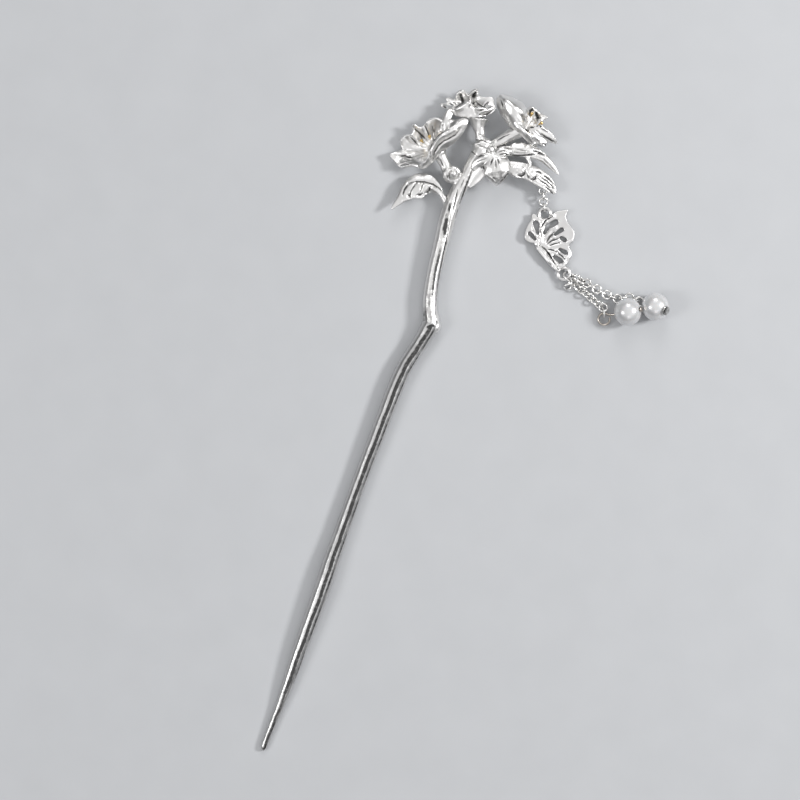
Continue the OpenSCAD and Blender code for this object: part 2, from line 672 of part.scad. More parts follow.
// From the spray's axes, whose origin is the bend, to the part's own frame
module in_frame() {
    translate([SHAFT[len(SHAFT) - 1][1] * stick_d, shaft_l, 0]) rotate([0, 0, lean]) children();
}

// The cast metal: stick, branches, flowers and leaves are one solid
module shaft() {
    body = [
        for (r = SHAFT)
            let (width = r[2] * stick_d, rest = width / 2 + tip_d * 0.01)
            [r[1] * stick_d, r[0] * shaft_l, rest + (bend_z - SHAFT[len(SHAFT) - 1][2] * stick_d / 2) * r[0] * r[0], width]
    ];
    tip = [[0, 0, tip_d / 2, tip_d * 0.6], [0, tip_d * 0.25, tip_d * 0.55, tip_d]];
    bar(open_curve(concat(tip, body), 27), 12);
}

module neck_and_trunk() {
    start = [-0.12 * stick_d, -0.25 * stick_d, bend_z, 0.95 * stick_d];
    rows = [
        for (r = NECK)
            [r[1] * neck_l, r[0] * neck_l, bend_z + (fork_z - bend_z) * r[0], r[2] * stick_d]
    ];
    bar(open_curve(concat([start], rows, branch_rows(TRUNK, stick_d)), 24), 12);
    hull() {
        translate([0.10 * stick_d, 0, bend_z]) sphere(d = stick_d, $fn = 12);
        translate([0.42 * stick_d, -0.08 * stick_d, bend_z]) sphere(d = stick_d * 0.5, $fn = 10);
    }
}

module flowers() {
    flower(FLOWER_LEFT, THROAT_LEFT, flower_left_w, 120, 34, 0.47, stem_d * 0.66);
    flower(FLOWER_TOP, THROAT_TOP, flower_top_w, 103, 21, 0.48, stem_d * 0.64);
    flower(FLOWER_RIGHT, THROAT_RIGHT, flower_right_w, 30, 14, 0.55, stem_d * 0.68);
    blade(BACK_PETAL, anchor(THROAT_LEFT), flower_left_w, petal_t * 1.2, 6);
    small = anchor(SMALL_CENTRE);
    blade(SMALL_LEFT, small, flower_small_w, petal_t, 6);
    blade(SMALL_RIGHT, small, flower_small_w, petal_t, 6);
    blade(SMALL_UP, small, flower_small_w, petal_t, 5);
    blade(SMALL_DOWN, small, flower_small_w, petal_t, 9);
    blade(BRACT, small, flower_small_w, petal_t * 1.5, 5);
    hull() {
        translate(small + [0, 0, 0.50 * relief_h]) sphere(d = flower_small_w * 0.45, $fn = 10);
        translate(small + [0, 0, 0.72 * relief_h]) sphere(d = flower_small_w * 0.1, $fn = 10);
    }
}

module leaf_bridge() {
    long_lines = blade_rows(LEAF_LONG, anchor(LEAF_LONG_ROOT), leaf_long_l);
    low_lines = blade_rows(LEAF_LOW, anchor(LEAF_LOW_ROOT), leaf_low_l);
    from = blade_point(long_lines, BRIDGE[0][0], BRIDGE[0][1]);
    to = blade_point(low_lines, BRIDGE[1][0], BRIDGE[1][1]);
    middle = (from + to) / 2 + [leaf_low_l * 0.03, 0, 0];
    bar([for (p = [from, middle, to]) concat(p, [stem_d * BRIDGE_WIDTH])], 8);
}

module leaves() {
    leaf_bridge();
    blade(LEAF_LEFT, anchor(LEAF_LEFT_ROOT), leaf_left_l, leaf_t);
    veins(LEAF_LEFT, anchor(LEAF_LEFT_ROOT), leaf_left_l);
    blade(LEAF_LONG, anchor(LEAF_LONG_ROOT), leaf_long_l, leaf_t);
    veins(LEAF_LONG, anchor(LEAF_LONG_ROOT), leaf_long_l);
    blade(LEAF_LOW, anchor(LEAF_LOW_ROOT), leaf_low_l, leaf_t);
    veins(LEAF_LOW, anchor(LEAF_LOW_ROOT), leaf_low_l);
}

module cast_spray() {
    color(silver) union() {
        shaft();
        in_frame() {
            neck_and_trunk();
            branch(STEM_LEFT, stem_d);
            branch(STEM_TOP, stem_d);
            branch(STEM_RIGHT, stem_d);
            branch(LEAF_STEM, stem_d);
            branch(TWIG_LONG, stem_d);
            branch(TWIG_LOW, stem_d);
            sepals();
            flowers();
            leaves();
            ring(eye_r, eye_wire, eye_middle(), [0, 0, 1], 20, 8);
        }
    }
}

// A gold stamen: a thread with a bead, standing in its flower's throat
module stamen(row, place, width) {
    foot = anchor(place) + [row[0] * width, row[1] * width, row[2] * relief_h];
    color(gold) in_frame() translate(foot) rotate([0, 90 - row[4], row[3]]) {
        translate([0, 0, stamen_gap]) cylinder(d = stamen_wire, h = stamen_l - stamen_gap, $fn = round_fn);
        translate([0, 0, stamen_l]) sphere(d = stamen_bead_d, $fn = round_fn);
    }
}

// The drop: each piece hangs on the one before it
function eye_middle() =
    anchor(LEAF_LOW_ROOT) + [EYE_SEAT[0] * leaf_low_l, EYE_SEAT[1] * leaf_low_l, EYE_SEAT[2] * relief_h];
eye_step = on_wire(link_r, link_wire, eye_wire);
loop_step = on_wire(link_r, link_wire, loop_wire);
top_l = eye_step + 2 * link_pitch + loop_step;
top_fall = eye_middle()[2] - butterfly_z;
top_slope = asin(top_fall / top_l);
top_way = aim(TOP_HEADING, -top_slope);
function top_middle(n) =
    eye_middle() + flat(TOP_HEADING) * eye_r + top_way * (eye_step + (n - 1) * link_pitch);
function butterfly_at() = top_middle(3) + top_way * loop_step + flat(TOP_HEADING) * loop_r;
function low_loop_at() = butterfly_at() + [LOW_LOOP[0], LOW_LOOP[1], 0] * butterfly_l;
function ring_at_low() =
    let (spot = low_loop_at() + flat(RING_POSE[0]) * (loop_r + RING_OUT)) [spot[0], spot[1], RING_POSE[2]];

module top_link(n) {
    in_frame() link(top_middle(n), top_way, n == 2 ? 90 : 0);
}

// Outline of a slot that runs from a circle round a to a circle round b
function teardrop(a, ra, b, rb) =
    let (way = b - a, turn = atan2(way[1], way[0]), wrap = acos((ra - rb) / norm(way)), steps = 8)
    concat(
        [for (k = [0 : steps]) let (t = turn + wrap + k * (360 - 2 * wrap) / steps) a + ra * [cos(t), sin(t)]],
        [for (k = [0 : steps]) let (t = turn - wrap + k * 2 * wrap / steps) b + rb * [cos(t), sin(t)]]
    );

module butterfly() {
    at = butterfly_at();
    color(silver) in_frame() {
        difference() {
            translate([at[0], at[1], at[2] - butterfly_t / 2]) linear_extrude(butterfly_t) difference() {
                scale(butterfly_l) polygon([for (k = [0 : 2 * len(WINGS) - 1]) ring_at(WINGS, k / 2)]);
                for (s = SLOTS) {
                    scale(butterfly_l) polygon(teardrop([s[0], s[1]], s[2], [s[3], s[4]], s[5]));
                }
                translate([LOW_LOOP[0], LOW_LOOP[1]] * butterfly_l) circle(r = loop_r, $fn = round_fn);
                circle(r = loop_r, $fn = round_fn);
            }
            for (g = GROOVES) {
                rod(at + [g[0] * butterfly_l, g[1] * butterfly_l, butterfly_t / 2],
                    at + [g[2] * butterfly_l, g[3] * butterfly_l, butterfly_t / 2], groove_w);
            }
        }
        ring(loop_r, loop_wire, at, [0, 0, 1]);
        ring(loop_r, loop_wire, low_loop_at(), [0, 0, 1]);
    }
}

module jump_ring() {
    across = flat(RING_POSE[0] + 90);
    normal = across * cos(RING_POSE[1]) + [0, 0, 1] * sin(RING_POSE[1]);
    color(silver) in_frame() ring(ring_r, ring_wire, ring_at_low(), normal);
}

// The near chain runs from the jump ring to the near pearl's head pin
function near_xy(n) =
    n == 0 ? [ring_at_low()[0] + NEAR_START[0], ring_at_low()[1] + NEAR_START[1], 0]
    : near_xy(n - 1) + flat(NEAR_CHAIN[n - 1][0]) * (link_pitch - 0.1);
function near_middle(n) = near_xy(n) + [0, 0, NEAR_CHAIN[n][2]];
module near_link(n) {
    before = near_middle(max(n - 1, 0));
    after = n + 1 < len(NEAR_CHAIN) ? near_middle(n + 1) : near_eye();
    in_frame() link(near_middle(n), unit(after - before), NEAR_CHAIN[n][1]);
}

module spare_link(n) {
    row = SPARE_LINKS[n];
    in_frame() link([ring_at_low()[0] + row[0], ring_at_low()[1] + row[1], row[2]], flat(row[3]), row[4]);
}

// Head pins and pearls
pin_reach = pearl_d / 2 + head_gap + head_t;
function near_eye() =
    let (end = near_xy(len(NEAR_CHAIN) - 1), step = hang(link_r, link_wire, pin_eye_r, pin_wire) - 0.4)
    end + flat(NEAR_CHAIN[len(NEAR_CHAIN) - 1][0]) * step + [0, 0, PIN_NEAR[4]];
function near_touch() = near_eye() + flat(PIN_NEAR[5]) * pin_eye_r;
function near_bend() = near_touch() + flat(PIN_NEAR[0]) * PIN_NEAR[1];
function near_pearl() =
    near_bend() + aim(PIN_NEAR[2], PIN_NEAR[3]) * (pearl_d / 2 - PIN_NEAR[4]) / sin(PIN_NEAR[3]);
function far_pearl() = near_pearl() + flat(PEARLS_HEADING) * (pearl_d + pearl_gap);
function far_bend() =
    far_pearl() - aim(PIN_FAR[2], PIN_FAR[3]) * (pearl_d / 2 - PIN_FAR[4]) / sin(PIN_FAR[3]);
function far_touch() = far_bend() - flat(PIN_FAR[0]) * PIN_FAR[1];
function far_eye() = far_touch() - flat(PIN_FAR[5]) * pin_eye_far_r;

module rod(from, to, d) {
    way = to - from;
    translate(from) rotate([0, acos(way[2] / norm(way)), atan2(way[1], way[0])])
        cylinder(d = d, h = norm(way), $fn = round_fn);
}

// A head pin: its eye loop, the run to the bend, and the pin through a pearl with its flat head
module head_pin(eye, loop_r, touch, bend, pearl, way, head_d) {
    color(silver) in_frame() {
        ring(loop_r, pin_wire * 1.06, eye, [0, 0, 1]);
        rod(touch, bend, pin_wire);
        translate(bend) sphere(d = pin_wire * 1.1, $fn = round_fn);
        rod(bend, pearl + way * (pin_reach - head_t / 2), pin_wire);
        rod(pearl + way * (pin_reach - head_t), pearl + way * pin_reach, head_d);
    }
}

module head_pin_near() {
    way = aim(PIN_NEAR[2], PIN_NEAR[3]);
    head_pin(near_eye(), pin_eye_r, near_touch(), near_bend(), near_pearl(), way, head_near_d);
}

module head_pin_far() {
    way = aim(PIN_FAR[2], PIN_FAR[3]);
    head_pin(far_eye(), pin_eye_far_r, far_touch(), far_bend(), far_pearl(), way, head_far_d);
}

module pearl(middle, way) {
    color(pearl_white) in_frame() difference() {
        translate(middle) sphere(d = pearl_d, $fn = 64);
        rod(middle - way * pearl_d, middle + way * pearl_d, pearl_bore);
    }
}

module pearl_near() {
    pearl(near_pearl(), aim(PIN_NEAR[2], PIN_NEAR[3]));
}

module pearl_far() {
    pearl(far_pearl(), aim(PIN_FAR[2], PIN_FAR[3]));
}

// The far chain spans from the jump ring to the far pearl's head pin
function far_from() = ring_at_low() + [FAR_START[0], FAR_START[1], 0];
function far_to() = far_eye() + flat(FAR_HEADING) * pin_eye_far_r;
function far_middle(n) =
    let (
        row = FAR_ROUTE[n],
        from = far_from(),
        span = far_to() - from,
        along = [span[0], span[1], 0],
        side = [-span[1], span[0], 0]
    )
    [from[0], from[1], row[2]] + along * row[0] + side * row[1];
module far_link(n) {
    last = len(FAR_ROUTE) - 1;
    way = unit(far_middle(min(n + 1, last)) - far_middle(max(n - 1, 0)));
    in_frame() link(far_middle(n), way, FAR_ROUTE[n][3]);
}

cast_spray();
stamen(STAMENS_LEFT[0], THROAT_LEFT, flower_left_w);  // stamen_left_1
stamen(STAMENS_LEFT[1], THROAT_LEFT, flower_left_w);  // stamen_left_2
stamen(STAMENS_RIGHT[0], THROAT_RIGHT, flower_right_w);  // stamen_right_1
stamen(STAMENS_RIGHT[1], THROAT_RIGHT, flower_right_w);  // stamen_right_2
top_link(1);  // top_link_1
top_link(2);  // top_link_2
top_link(3);  // top_link_3
butterfly();
jump_ring();
far_link(0);  // far_link_1
far_link(1);  // far_link_2
far_link(2);  // far_link_3
far_link(3);  // far_link_4
far_link(4);  // far_link_5
far_link(5);  // far_link_6
far_link(6);  // far_link_7
far_link(7);  // far_link_8
far_link(8);  // far_link_9
far_link(9);  // far_link_10
far_link(10);  // far_link_11
far_link(11);  // far_link_12
near_link(0);  // near_link_1
near_link(1);  // near_link_2
near_link(2);  // near_link_3
near_link(3);  // near_link_4
near_link(4);  // near_link_5
near_link(5);  // near_link_6
near_link(6);  // near_link_7
near_link(7);  // near_link_8
near_link(8);  // near_link_9
spare_link(0);  // spare_link_1
spare_link(1);  // spare_link_2
head_pin_near();
head_pin_far();
pearl_near();
pearl_far();
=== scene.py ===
from math import acos, asin, atan2, cos, degrees, hypot, pi, radians, sin

import bmesh
import bpy
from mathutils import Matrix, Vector


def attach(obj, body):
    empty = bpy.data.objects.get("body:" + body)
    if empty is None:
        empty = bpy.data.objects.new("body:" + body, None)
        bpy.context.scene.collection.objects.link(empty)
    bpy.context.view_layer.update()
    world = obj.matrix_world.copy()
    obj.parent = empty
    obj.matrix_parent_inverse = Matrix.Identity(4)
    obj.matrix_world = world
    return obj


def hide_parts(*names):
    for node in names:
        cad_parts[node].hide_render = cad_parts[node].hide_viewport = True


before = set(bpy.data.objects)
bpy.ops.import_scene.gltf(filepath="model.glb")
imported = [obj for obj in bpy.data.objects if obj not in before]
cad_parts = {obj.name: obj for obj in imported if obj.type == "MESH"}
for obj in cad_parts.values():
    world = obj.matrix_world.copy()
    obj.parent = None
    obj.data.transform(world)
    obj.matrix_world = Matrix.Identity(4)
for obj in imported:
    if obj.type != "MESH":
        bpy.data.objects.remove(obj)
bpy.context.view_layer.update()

# Sizes in millimetres, as in the part's source, and angles in degrees
mm = 0.001
UP = Vector((0, 0, 1))
SHAFT_LENGTH = 114.5
BEND_SIDE = 0.08
LEAN = 21.5
NECK_LENGTH = 32.5
STICK_WIDTH = 4.0
BEND_HEIGHT = 2.4
FORK_HEIGHT = 2.9
SPRAY_WIDTH = 40.0
RELIEF = 8.0
STEM_WIDTH = 2.6
PETAL = 0.8
LEAF = 0.9
BIG_FLOWER = 20
MID_FLOWER = 15
SMALL_FLOWER = 10
LEFT_LEAF = 16
RIGHT_LEAF = 15
BUTTERFLY = 15
PLATE_LOW, PLATE_MIDDLE, PLATE_HIGH, THROUGH = 0.6, 1.2, 1.8, 2.6
LINK, LINK_WIRE, PLAY, STOUTER = 2.5, 0.45, 0.1, 0.06
EYE_R, EYE_WIRE, EYE_METAL = 0.925, 0.45, 0.48
LOOP, LOOP_WIRE = 3.9, 0.9
JUMP_RING, RING_WIRE = 3.5, 0.5
PIN_WIRE, NEAR_EYE, FAR_EYE = 0.55, 3.45, 2.9
PIN_GAP, HEAD_THICK = 0.1, 0.4
PEARL, BORE, PEARL_GAP = 6.9, 0.45, 0.1
ANTHER, THREAD, THREAD_LENGTH = 0.8, 0.4, 1.5


def shares(rows, kept=0):
    """Turns rows in hundredths into shares, all but the first kept columns."""
    return [row[:kept] + tuple(v / 100 for v in row[kept:]) for row in rows]


# The shaft: place along it, sideways bow, width (of its length and of the stick's width)
SHAFT = shares([
    (1.2, -3, 40), (5.5, -4, 45), (10, -3, 53), (16, -6, 70), (23, -14, 84), (31, -19, 95),
    (39, -26, 101), (45, -36, 96), (51, -42, 89), (57, -48, 87), (64, -54, 85), (71, -56, 90),
    (78, -58, 92), (85.5, -59.5, 96), (91, -47.5, 95), (95.5, -19, 95), (100, 2, 110),
])
# The bend between them, in millimetres: x, y, z, width
BEND = [
    (-0.6, 0.1, BEND_HEIGHT, 2.6), (0.1, 0.05, BEND_HEIGHT, 3.9), (0.9, -0.1, BEND_HEIGHT, 3.7),
    (2.0, -0.3, BEND_HEIGHT, 2.9), (2.5, -0.38, BEND_HEIGHT, 1.6),
]
# The neck: place up it, sideways place, width
NECK = shares([
    (3, 1, 105), (11, 0, 92), (22, 0, 88), (34, 1.5, 84), (46, 4, 86), (58, 7, 90), (70, 10, 96),
    (80, 12.5, 102), (90, 15.5, 100), (100, 19, 98),
])
# Trunk and stems: x, y from the fork (shares of the spray's width), height (share of the
# relief), width (share of the stick's or the stem's width)
TRUNK = shares([
    (3, 5, 38, 95), (6.5, 10.5, 40, 94), (10, 16.5, 42, 100), (13.5, 22, 45, 112),
    (16.5, 27, 46, 118), (17.5, 31, 46, 105),
])
STEM_LEFT = shares([
    (3.5, 6, 40, 100), (0, 10, 40, 105), (-2.8, 13.6, 41, 142), (-4.4, 15.8, 42, 115),
    (-6.2, 19.8, 43, 108), (-8.6, 24, 46, 120), (-10.2, 26.6, 48, 158),
])
STEM_TOP = shares([
    (17.2, 30, 45, 155), (17, 32, 45, 192), (16.8, 33.4, 45, 180), (16.4, 34.6, 45, 120),
    (15.8, 36.2, 46, 96), (15.4, 40, 47, 102), (14.6, 44, 48, 140), (14.8, 47.8, 49, 205),
])
STEM_RIGHT = shares([
    (17.5, 26, 47, 145), (23, 30, 49, 128), (30, 34.5, 51, 122), (36, 38.3, 52, 130),
    (41.2, 41.2, 54, 164),
])
LEAF_STEM = shares([
    (-3, -15, 36, 62), (-4, -9, 37, 66), (-6.2, -3, 38, 60), (-8.8, 1.5, 39, 50), (-12, 5, 39, 34),
])
TWIG_LONG = shares([
    (16, 26.2, 45, 66), (23.5, 26.6, 53, 62), (30.6, 26.9, 61, 52), (34.5, 27.2, 62, 36),
])
TWIG_LOW = shares([
    (16, 24, 45, 66), (24.5, 22.2, 51, 62), (32.5, 19.4, 57, 52), (36.2, 17.8, 57, 36),
])
LEAF_BRIDGE = shares([
    (44, 24.5, 56, 32), (46.6, 20.5, 56, 36), (46.2, 16.5, 54, 36),
])

# Open flowers, one row for each fold or petal tip round the throat: place of its root
# (degrees), then crest and rim: x, y from the throat (shares of the width), height
FLOWER_LEFT = shares([
    (195, -42, -2, 24, -60, -2, 29), (203, -39, 2, 14, -43, 4, 20), (210, -38, 6, 17, -47, 14, 27),
    (225, -31, 11, 17, -42, 21, 31), (237, -26, 12, 30, -32, 23, 41),
    (248, -23, 16, 24, -31, 34, 50), (262, -18, 17, 17, -21, 31, 37),
    (280, -12, 20, 32, -12, 39, 54), (298, -6, 22, 20, -2, 42, 57), (315, 0, 23, 34, 6, 39, 62),
    (340, 10, 29, 55, 19, 39, 69), (5, 24, 32, 82, 37, 38, 78), (30, 14, 26, 93, 29, 20, 72),
    (58, 1, 18, 97, 18, 9, 66), (90, -7, 7, 96, 3, -2, 64), (120, -12, -6, 88, -8, -14, 62),
    (142, -17, -15, 74, -19, -21, 58), (160, -26, -11, 46, -33, -18, 51),
    (173, -34, -10, 40, -46, -20, 42), (185, -39, -8, 26, -55, -11, 30),
], 1)
FLOWER_TOP = shares([
    (190, -40, 17, 44, -60, 20, 34), (203, -36, 19, 34, -48, 23.5, 28),
    (215, -31, 23.5, 25, -50, 32.5, 30), (224, -28, 24, 22, -40, 30, 24),
    (233, -25, 26, 20, -33.5, 30, 30), (241, -24, 28, 22, -32.5, 37, 45),
    (250, -19, 27, 20, -26.5, 42, 55), (258, -15, 26, 22, -19, 42, 56),
    (266, -12, 27, 34, -13.5, 37.5, 46), (276, -7, 27, 25, -6, 42, 48),
    (286, -3, 27, 25, 2, 46, 50), (298, 0, 24, 34, 3, 36, 44), (312, 5, 22, 42, 14, 32.5, 48),
    (330, 12, 20, 50, 28, 31, 52), (350, 15, 16, 56, 31, 18, 56), (8, 15, 14, 62, 33, 12, 60),
    (35, 11, 12, 76, 24, 4, 62), (65, 2, 12, 84, 6, -2, 70), (92, -5, 13, 72, -5, -2, 66),
    (120, -12, 22, 86, -14, -4, 70), (148, -25, 19, 83, -30, -1, 60),
    (172, -37, 15, 68, -42, 9, 50),
], 1)
FLOWER_RIGHT = shares([
    (165, -20, 28, 93, -40, 53, 62), (183, -10, 29, 83, -20, 48, 55), (200, -5, 24, 77, -3, 40, 57),
    (218, 2, 16, 72, 7, 29, 64), (236, 6, 18, 45, 9, 33, 55), (258, 13, 20, 27, 16, 36, 45),
    (280, 20, 19, 25, 25, 28, 42), (300, 24, 16, 33, 42, 20, 38), (322, 21, 11, 40, 30, 11, 43),
    (345, 21, 6, 62, 31, 3, 67), (5, 24, -4, 58, 47, -7, 52), (18, 28, -11, 52, 58, -24, 33),
    (28, 24, -12, 50, 42, -20, 36), (38, 21, -15, 57, 36, -29, 37),
    (47, 17, -15, 55, 25, -24.5, 42), (56, 13, -17, 60, 20, -32, 40), (75, 2, -9, 77, 0, -15, 62),
    (95, -8, 0, 82, -15, -3, 67), (115, -15, 11, 80, -28, 11, 57), (132, -20, 20, 82, -38, 27, 52),
    (148, -22, 27, 87, -43, 42, 53),
], 1)
# The right flower's pointed hood, laid over its closed petals
HOOD = shares([
    (-3.3, -4, 66, 7, 7, 5, 5), (-9.2, 10, 82, 14.5, 15.5, 24, 22),
    (-16.7, 25.8, 92, 17, 20.5, 30, 26), (-26.7, 39, 88, 14.5, 13.5, 28, 22),
    (-34.5, 47.5, 76, 7.5, 7, 16, 12), (-39.5, 53, 64, 2, 2, 4, 4),
])
# Leaves and single petals, one row for each station: x, y from the root (shares of the
# length), height, half widths to the left and right, edge drops
LEAF_LEFT = shares([
    (0, 0, 38, 3, 4, 2, 2), (-11, 9, 39, 7, 11, 5, 4), (-22, 13, 41, 14, 17, 7, 8),
    (-35, 12, 42, 20, 18, 10, 11), (-49, 5, 41, 15, 14, 9, 9), (-61, -8, 38, 6, 7, 4, 5),
    (-77, -24, 35, 1, 1, 0, 0),
])
LEAF_LONG = shares([
    (0, 0, 62, 5, 5, 4, 4), (15, 2, 63, 9, 8, 7, 4), (32, 2, 62, 10, 9, 9, 3),
    (48, -1, 57, 8, 8, 8, 5), (65, -9, 50, 7, 6, 6, 6), (78, -21, 43, 5, 4, 4, 4),
    (91, -36, 37, 1, 1, 0, 0),
])
LEAF_LOW = shares([
    (0, 0, 58, 5, 8, 3, 4), (15, -7, 57, 11, 14, 5, 8), (30, -12, 54, 13, 11, 6, 7),
    (47, -20, 49, 15, 11, 8, 5), (63, -30, 42, 13, 10, 7, 5), (74, -39, 37, 8, 7, 4, 3),
    (80, -48, 35, 2, 2, 0, 0),
])
SMALL_DOWN = shares([
    (4, 5, 76, 8, 8, 2, 2), (4, -10, 86, 30, 26, 12, 12), (4, -30, 91, 34, 34, 15, 16),
    (5, -48, 88, 27, 27, 12, 12), (5, -62, 74, 15, 15, 6, 6), (5, -73, 58, 3, 3, 0, 0),
])
SMALL_LEFT = shares([
    (0, -2, 80, 9, 9, 3, 3), (-22, -6, 84, 12, 10, 6, 4), (-42, -16, 76, 12, 10, 7, 6),
    (-54, -34, 62, 6, 5, 3, 3),
])
SMALL_RIGHT = shares([
    (2, 0, 80, 10, 8, 4, 3), (20, 8, 86, 13, 10, 7, 5), (38, 10, 76, 10, 9, 6, 5),
    (46, 8, 66, 4, 4, 0, 0),
])
SMALL_UP = shares([
    (0, 0, 78, 10, 10, 3, 3), (-10, 14, 73, 17, 17, 9, 9), (-18, 28, 58, 9, 9, 4, 4),
])
BRACT = shares([
    (-30, -30, 66, 16, 14, 5, 5), (-48, -52, 55, 16, 12, 5, 5), (-62, -76, 44, 3, 3, 0, 0),
])
BACK_PETAL = shares([
    (8, 24, 60, 7, 7, 4, 4), (10, 34, 64, 5, 5.5, 6, 6), (11, 42, 62, 4, 4.5, 5, 5),
    (15, 49, 56, 3.5, 4, 4, 4), (23, 54, 49, 2, 2, 2, 2),
])
# Sepals curled round the foot of the left flower: mark on the drawing, height and width
SEPALS = [
    [(49, 69.5, 4.3, 1.7), (46.3, 72, 4.4, 1.8), (45.8, 75.5, 4.1, 1.8),
     (47.3, 79, 3.6, 1.4), (48.6, 81.3, 3.1, 0.7)],
    [(49, 72, 4.2, 1.2), (50.5, 69.3, 4.7, 1.4), (53.8, 68.4, 4.9, 1.6),
     (57, 70.6, 4.7, 1.7), (57.6, 74.2, 4.3, 1.6), (55.6, 77.2, 3.8, 1.2)],
    [(50.5, 73.5, 4.5, 1.5), (52.6, 72.4, 4.8, 2.2), (54, 74.6, 4.5, 2.2),
     (53.2, 78, 3.9, 1.4)],
    [(49.5, 75, 4.1, 1.3), (50.2, 78.5, 3.9, 1.5), (52.5, 81.5, 3.5, 1.2)],
]
# Places of throats and roots from the fork, in shares of the spray's width
THROAT_LEFT = (-0.106, 0.275)
THROAT_TOP = (0.131, 0.494)
THROAT_RIGHT = (0.425, 0.419)
SMALL_CENTRE = (0.244, 0.244)
LEAF_LEFT_ROOT = (-0.088, 0.015)
LEAF_LONG_ROOT = (0.306, 0.269)
LEAF_LOW_ROOT = (0.325, 0.194)
# Stamens: foot x, y from the throat (shares of the width), height, heading and rise
STAMENS_LEFT = [(-0.095, 0.15, 0.44, 110, 62), (-0.18, 0.11, 0.41, 140, 62)]
STAMENS_RIGHT = [(0.13, 0.195, 0.42, 70, 60), (0.245, 0.045, 0.74, 20, 60)]

# The butterfly, in shares of its length from the upper loop: outline, then the slots, each
# with the place and radius of both ends
WINGS = shares([
    (-22, -1), (-22, -8), (-28, -17), (-32, -27), (-34, -37), (-31, -44), (-24, -47.5), (-18, -49),
    (-13.5, -59.5), (-2, -73.5), (8, -85.5), (19, -95.5), (28, -91), (34, -86), (39, -80),
    (43, -72), (44, -62), (40, -54), (46, -46), (49, -37), (48, -28), (43, -20), (37.5, -12.5),
    (35, -5), (37, 2.5), (38.5, 7), (28, 6), (20, 4.5), (13, 0), (5, -8.5), (-7, -8.5), (-13, -5),
    (-17, 0.5),
])
SLOTS = shares([
    (-15, -16, 4.7, -12, -32, 1.3), (-25, -32.5, 3, -17, -42, 1.7), (-1, -32, 1.3, 5, -20.5, 3.3),
    (4.9, -20.7, 3.4, 18, -13.5, 4.2), (17, -34, 1.7, 28, -26, 3.2), (28, -39.5, 2.5, 33, -43.5, 3),
    (25, -59, 2, 35, -64.5, 3), (16, -71, 2.5, 26, -78, 3.7),
])
SLOT_FILED = 0.007
LOW_LOOP = (0.317, -0.99)
# Links to the near pearl: heading to the next one, roll, height. The chain lies a little
# slack, and its last link laps over the pin's eye
NEAR_CHAIN = [
    (-60, 41, 1.58), (-39, 135, 1.22), (-37, 45, 1.02), (-41, 135, 1.02), (-40, 45, 1.02),
    (-41, 135, 1.02), (-33, 40, 1.04), (-88, 100, 1.12), (-84, 5, 1.26),
]
NEAR_START = (1.3, -1.33)
NEAR_SLACK, NEAR_LAP = 0.1, 0.4
# Loose end links: x, y from the jump ring, height, heading, roll
SPARE_LINKS = [(0.22, -1.6, 2.12, -86, 12), (-0.18, -2.5, 1.12, 12, 34)]
# Links to the far pearl: shares of the way there, along and across it, height, roll
FAR_ROUTE = [
    (0.0, 0.0, 1.12, 42), (0.092, -0.006, 1.2, 145), (0.184, -0.016, 0.98, 70),
    (0.276, -0.032, 1.25, 168), (0.368, -0.05, 1.0, 80), (0.46, -0.067, 1.25, 170),
    (0.552, -0.079, 1.0, 85), (0.644, -0.084, 1.26, 175), (0.736, -0.081, 1.0, 90),
    (0.816, -0.036, 1.26, 0), (0.905, 0.004, 1.2, 70), (1.0, 0.0, 1.26, 170),
]
FAR_START = (1.78, -0.42)
FAR_HEADING = 152
TOP_HEADING = -84
# The jump ring: heading, tilt, height, and how far out of the loop it lies
RING_POSE = (-30, 45, 1.46)
RING_OUT = 0.06
# Pins: heading and length of the straight run, heading and rise through the pearl, height of
# the eye, and where the run leaves the eye
PIN_NEAR = (-7, 0.82, 10, 32, 0.95, 50)
PIN_FAR = (-3, 0.35, -27, 46, 0.8, -3)
PEARLS_HEADING = 11


# Curves through the rows of a table
def between(a, b, c, d, t):
    return [
        (2 * q + (r - p) * t + (2 * p - 5 * q + 4 * r - s) * t * t
         + (3 * q - p - 3 * r + s) * t * t * t) / 2
        for p, q, r, s in zip(a, b, c, d)
    ]


def open_at(rows, t):
    last = len(rows) - 1
    i = max(0, min(int(t), last - 1))
    return between(rows[max(i - 1, 0)], rows[i], rows[i + 1], rows[min(i + 2, last)], t - i)


def round_at(rows, t):
    n = len(rows)
    i = int(t) % n
    return between(rows[(i - 1) % n], rows[i], rows[(i + 1) % n], rows[(i + 2) % n], t - int(t))


def open_curve(rows, steps):
    return [open_at(rows, k * (len(rows) - 1) / steps) for k in range(steps + 1)]


def flat(heading, r=1.0):
    return Vector((cos(radians(heading)) * r, sin(radians(heading)) * r, 0))


def aim(heading, rise):
    h, r = radians(heading), radians(rise)
    return Vector((cos(h) * cos(r), sin(h) * cos(r), sin(r)))


def on_spray(x, y, z=0):
    """A place on the spray, measured from the fork."""
    fork = NECK[-1][1] * NECK_LENGTH
    return Vector((fork + x * SPRAY_WIDTH, NECK_LENGTH + y * SPRAY_WIDTH, z * RELIEF))


def from_root(root, size, x, y, z):
    """A place measured from a root on the spray, in shares of the flower's or leaf's size."""
    at = on_spray(*root)
    return Vector((at.x + x * size, at.y + y * size, z * RELIEF))


# Bench work: one piece of metal at a time, in edit mode
def lay_down():
    if bpy.context.object and bpy.context.object.mode != "OBJECT":
        bpy.ops.object.mode_set(mode="OBJECT")
    bpy.ops.object.select_all(action="DESELECT")


def take_up(piece):
    lay_down()
    piece.select_set(True)
    bpy.context.view_layer.objects.active = piece
    return piece


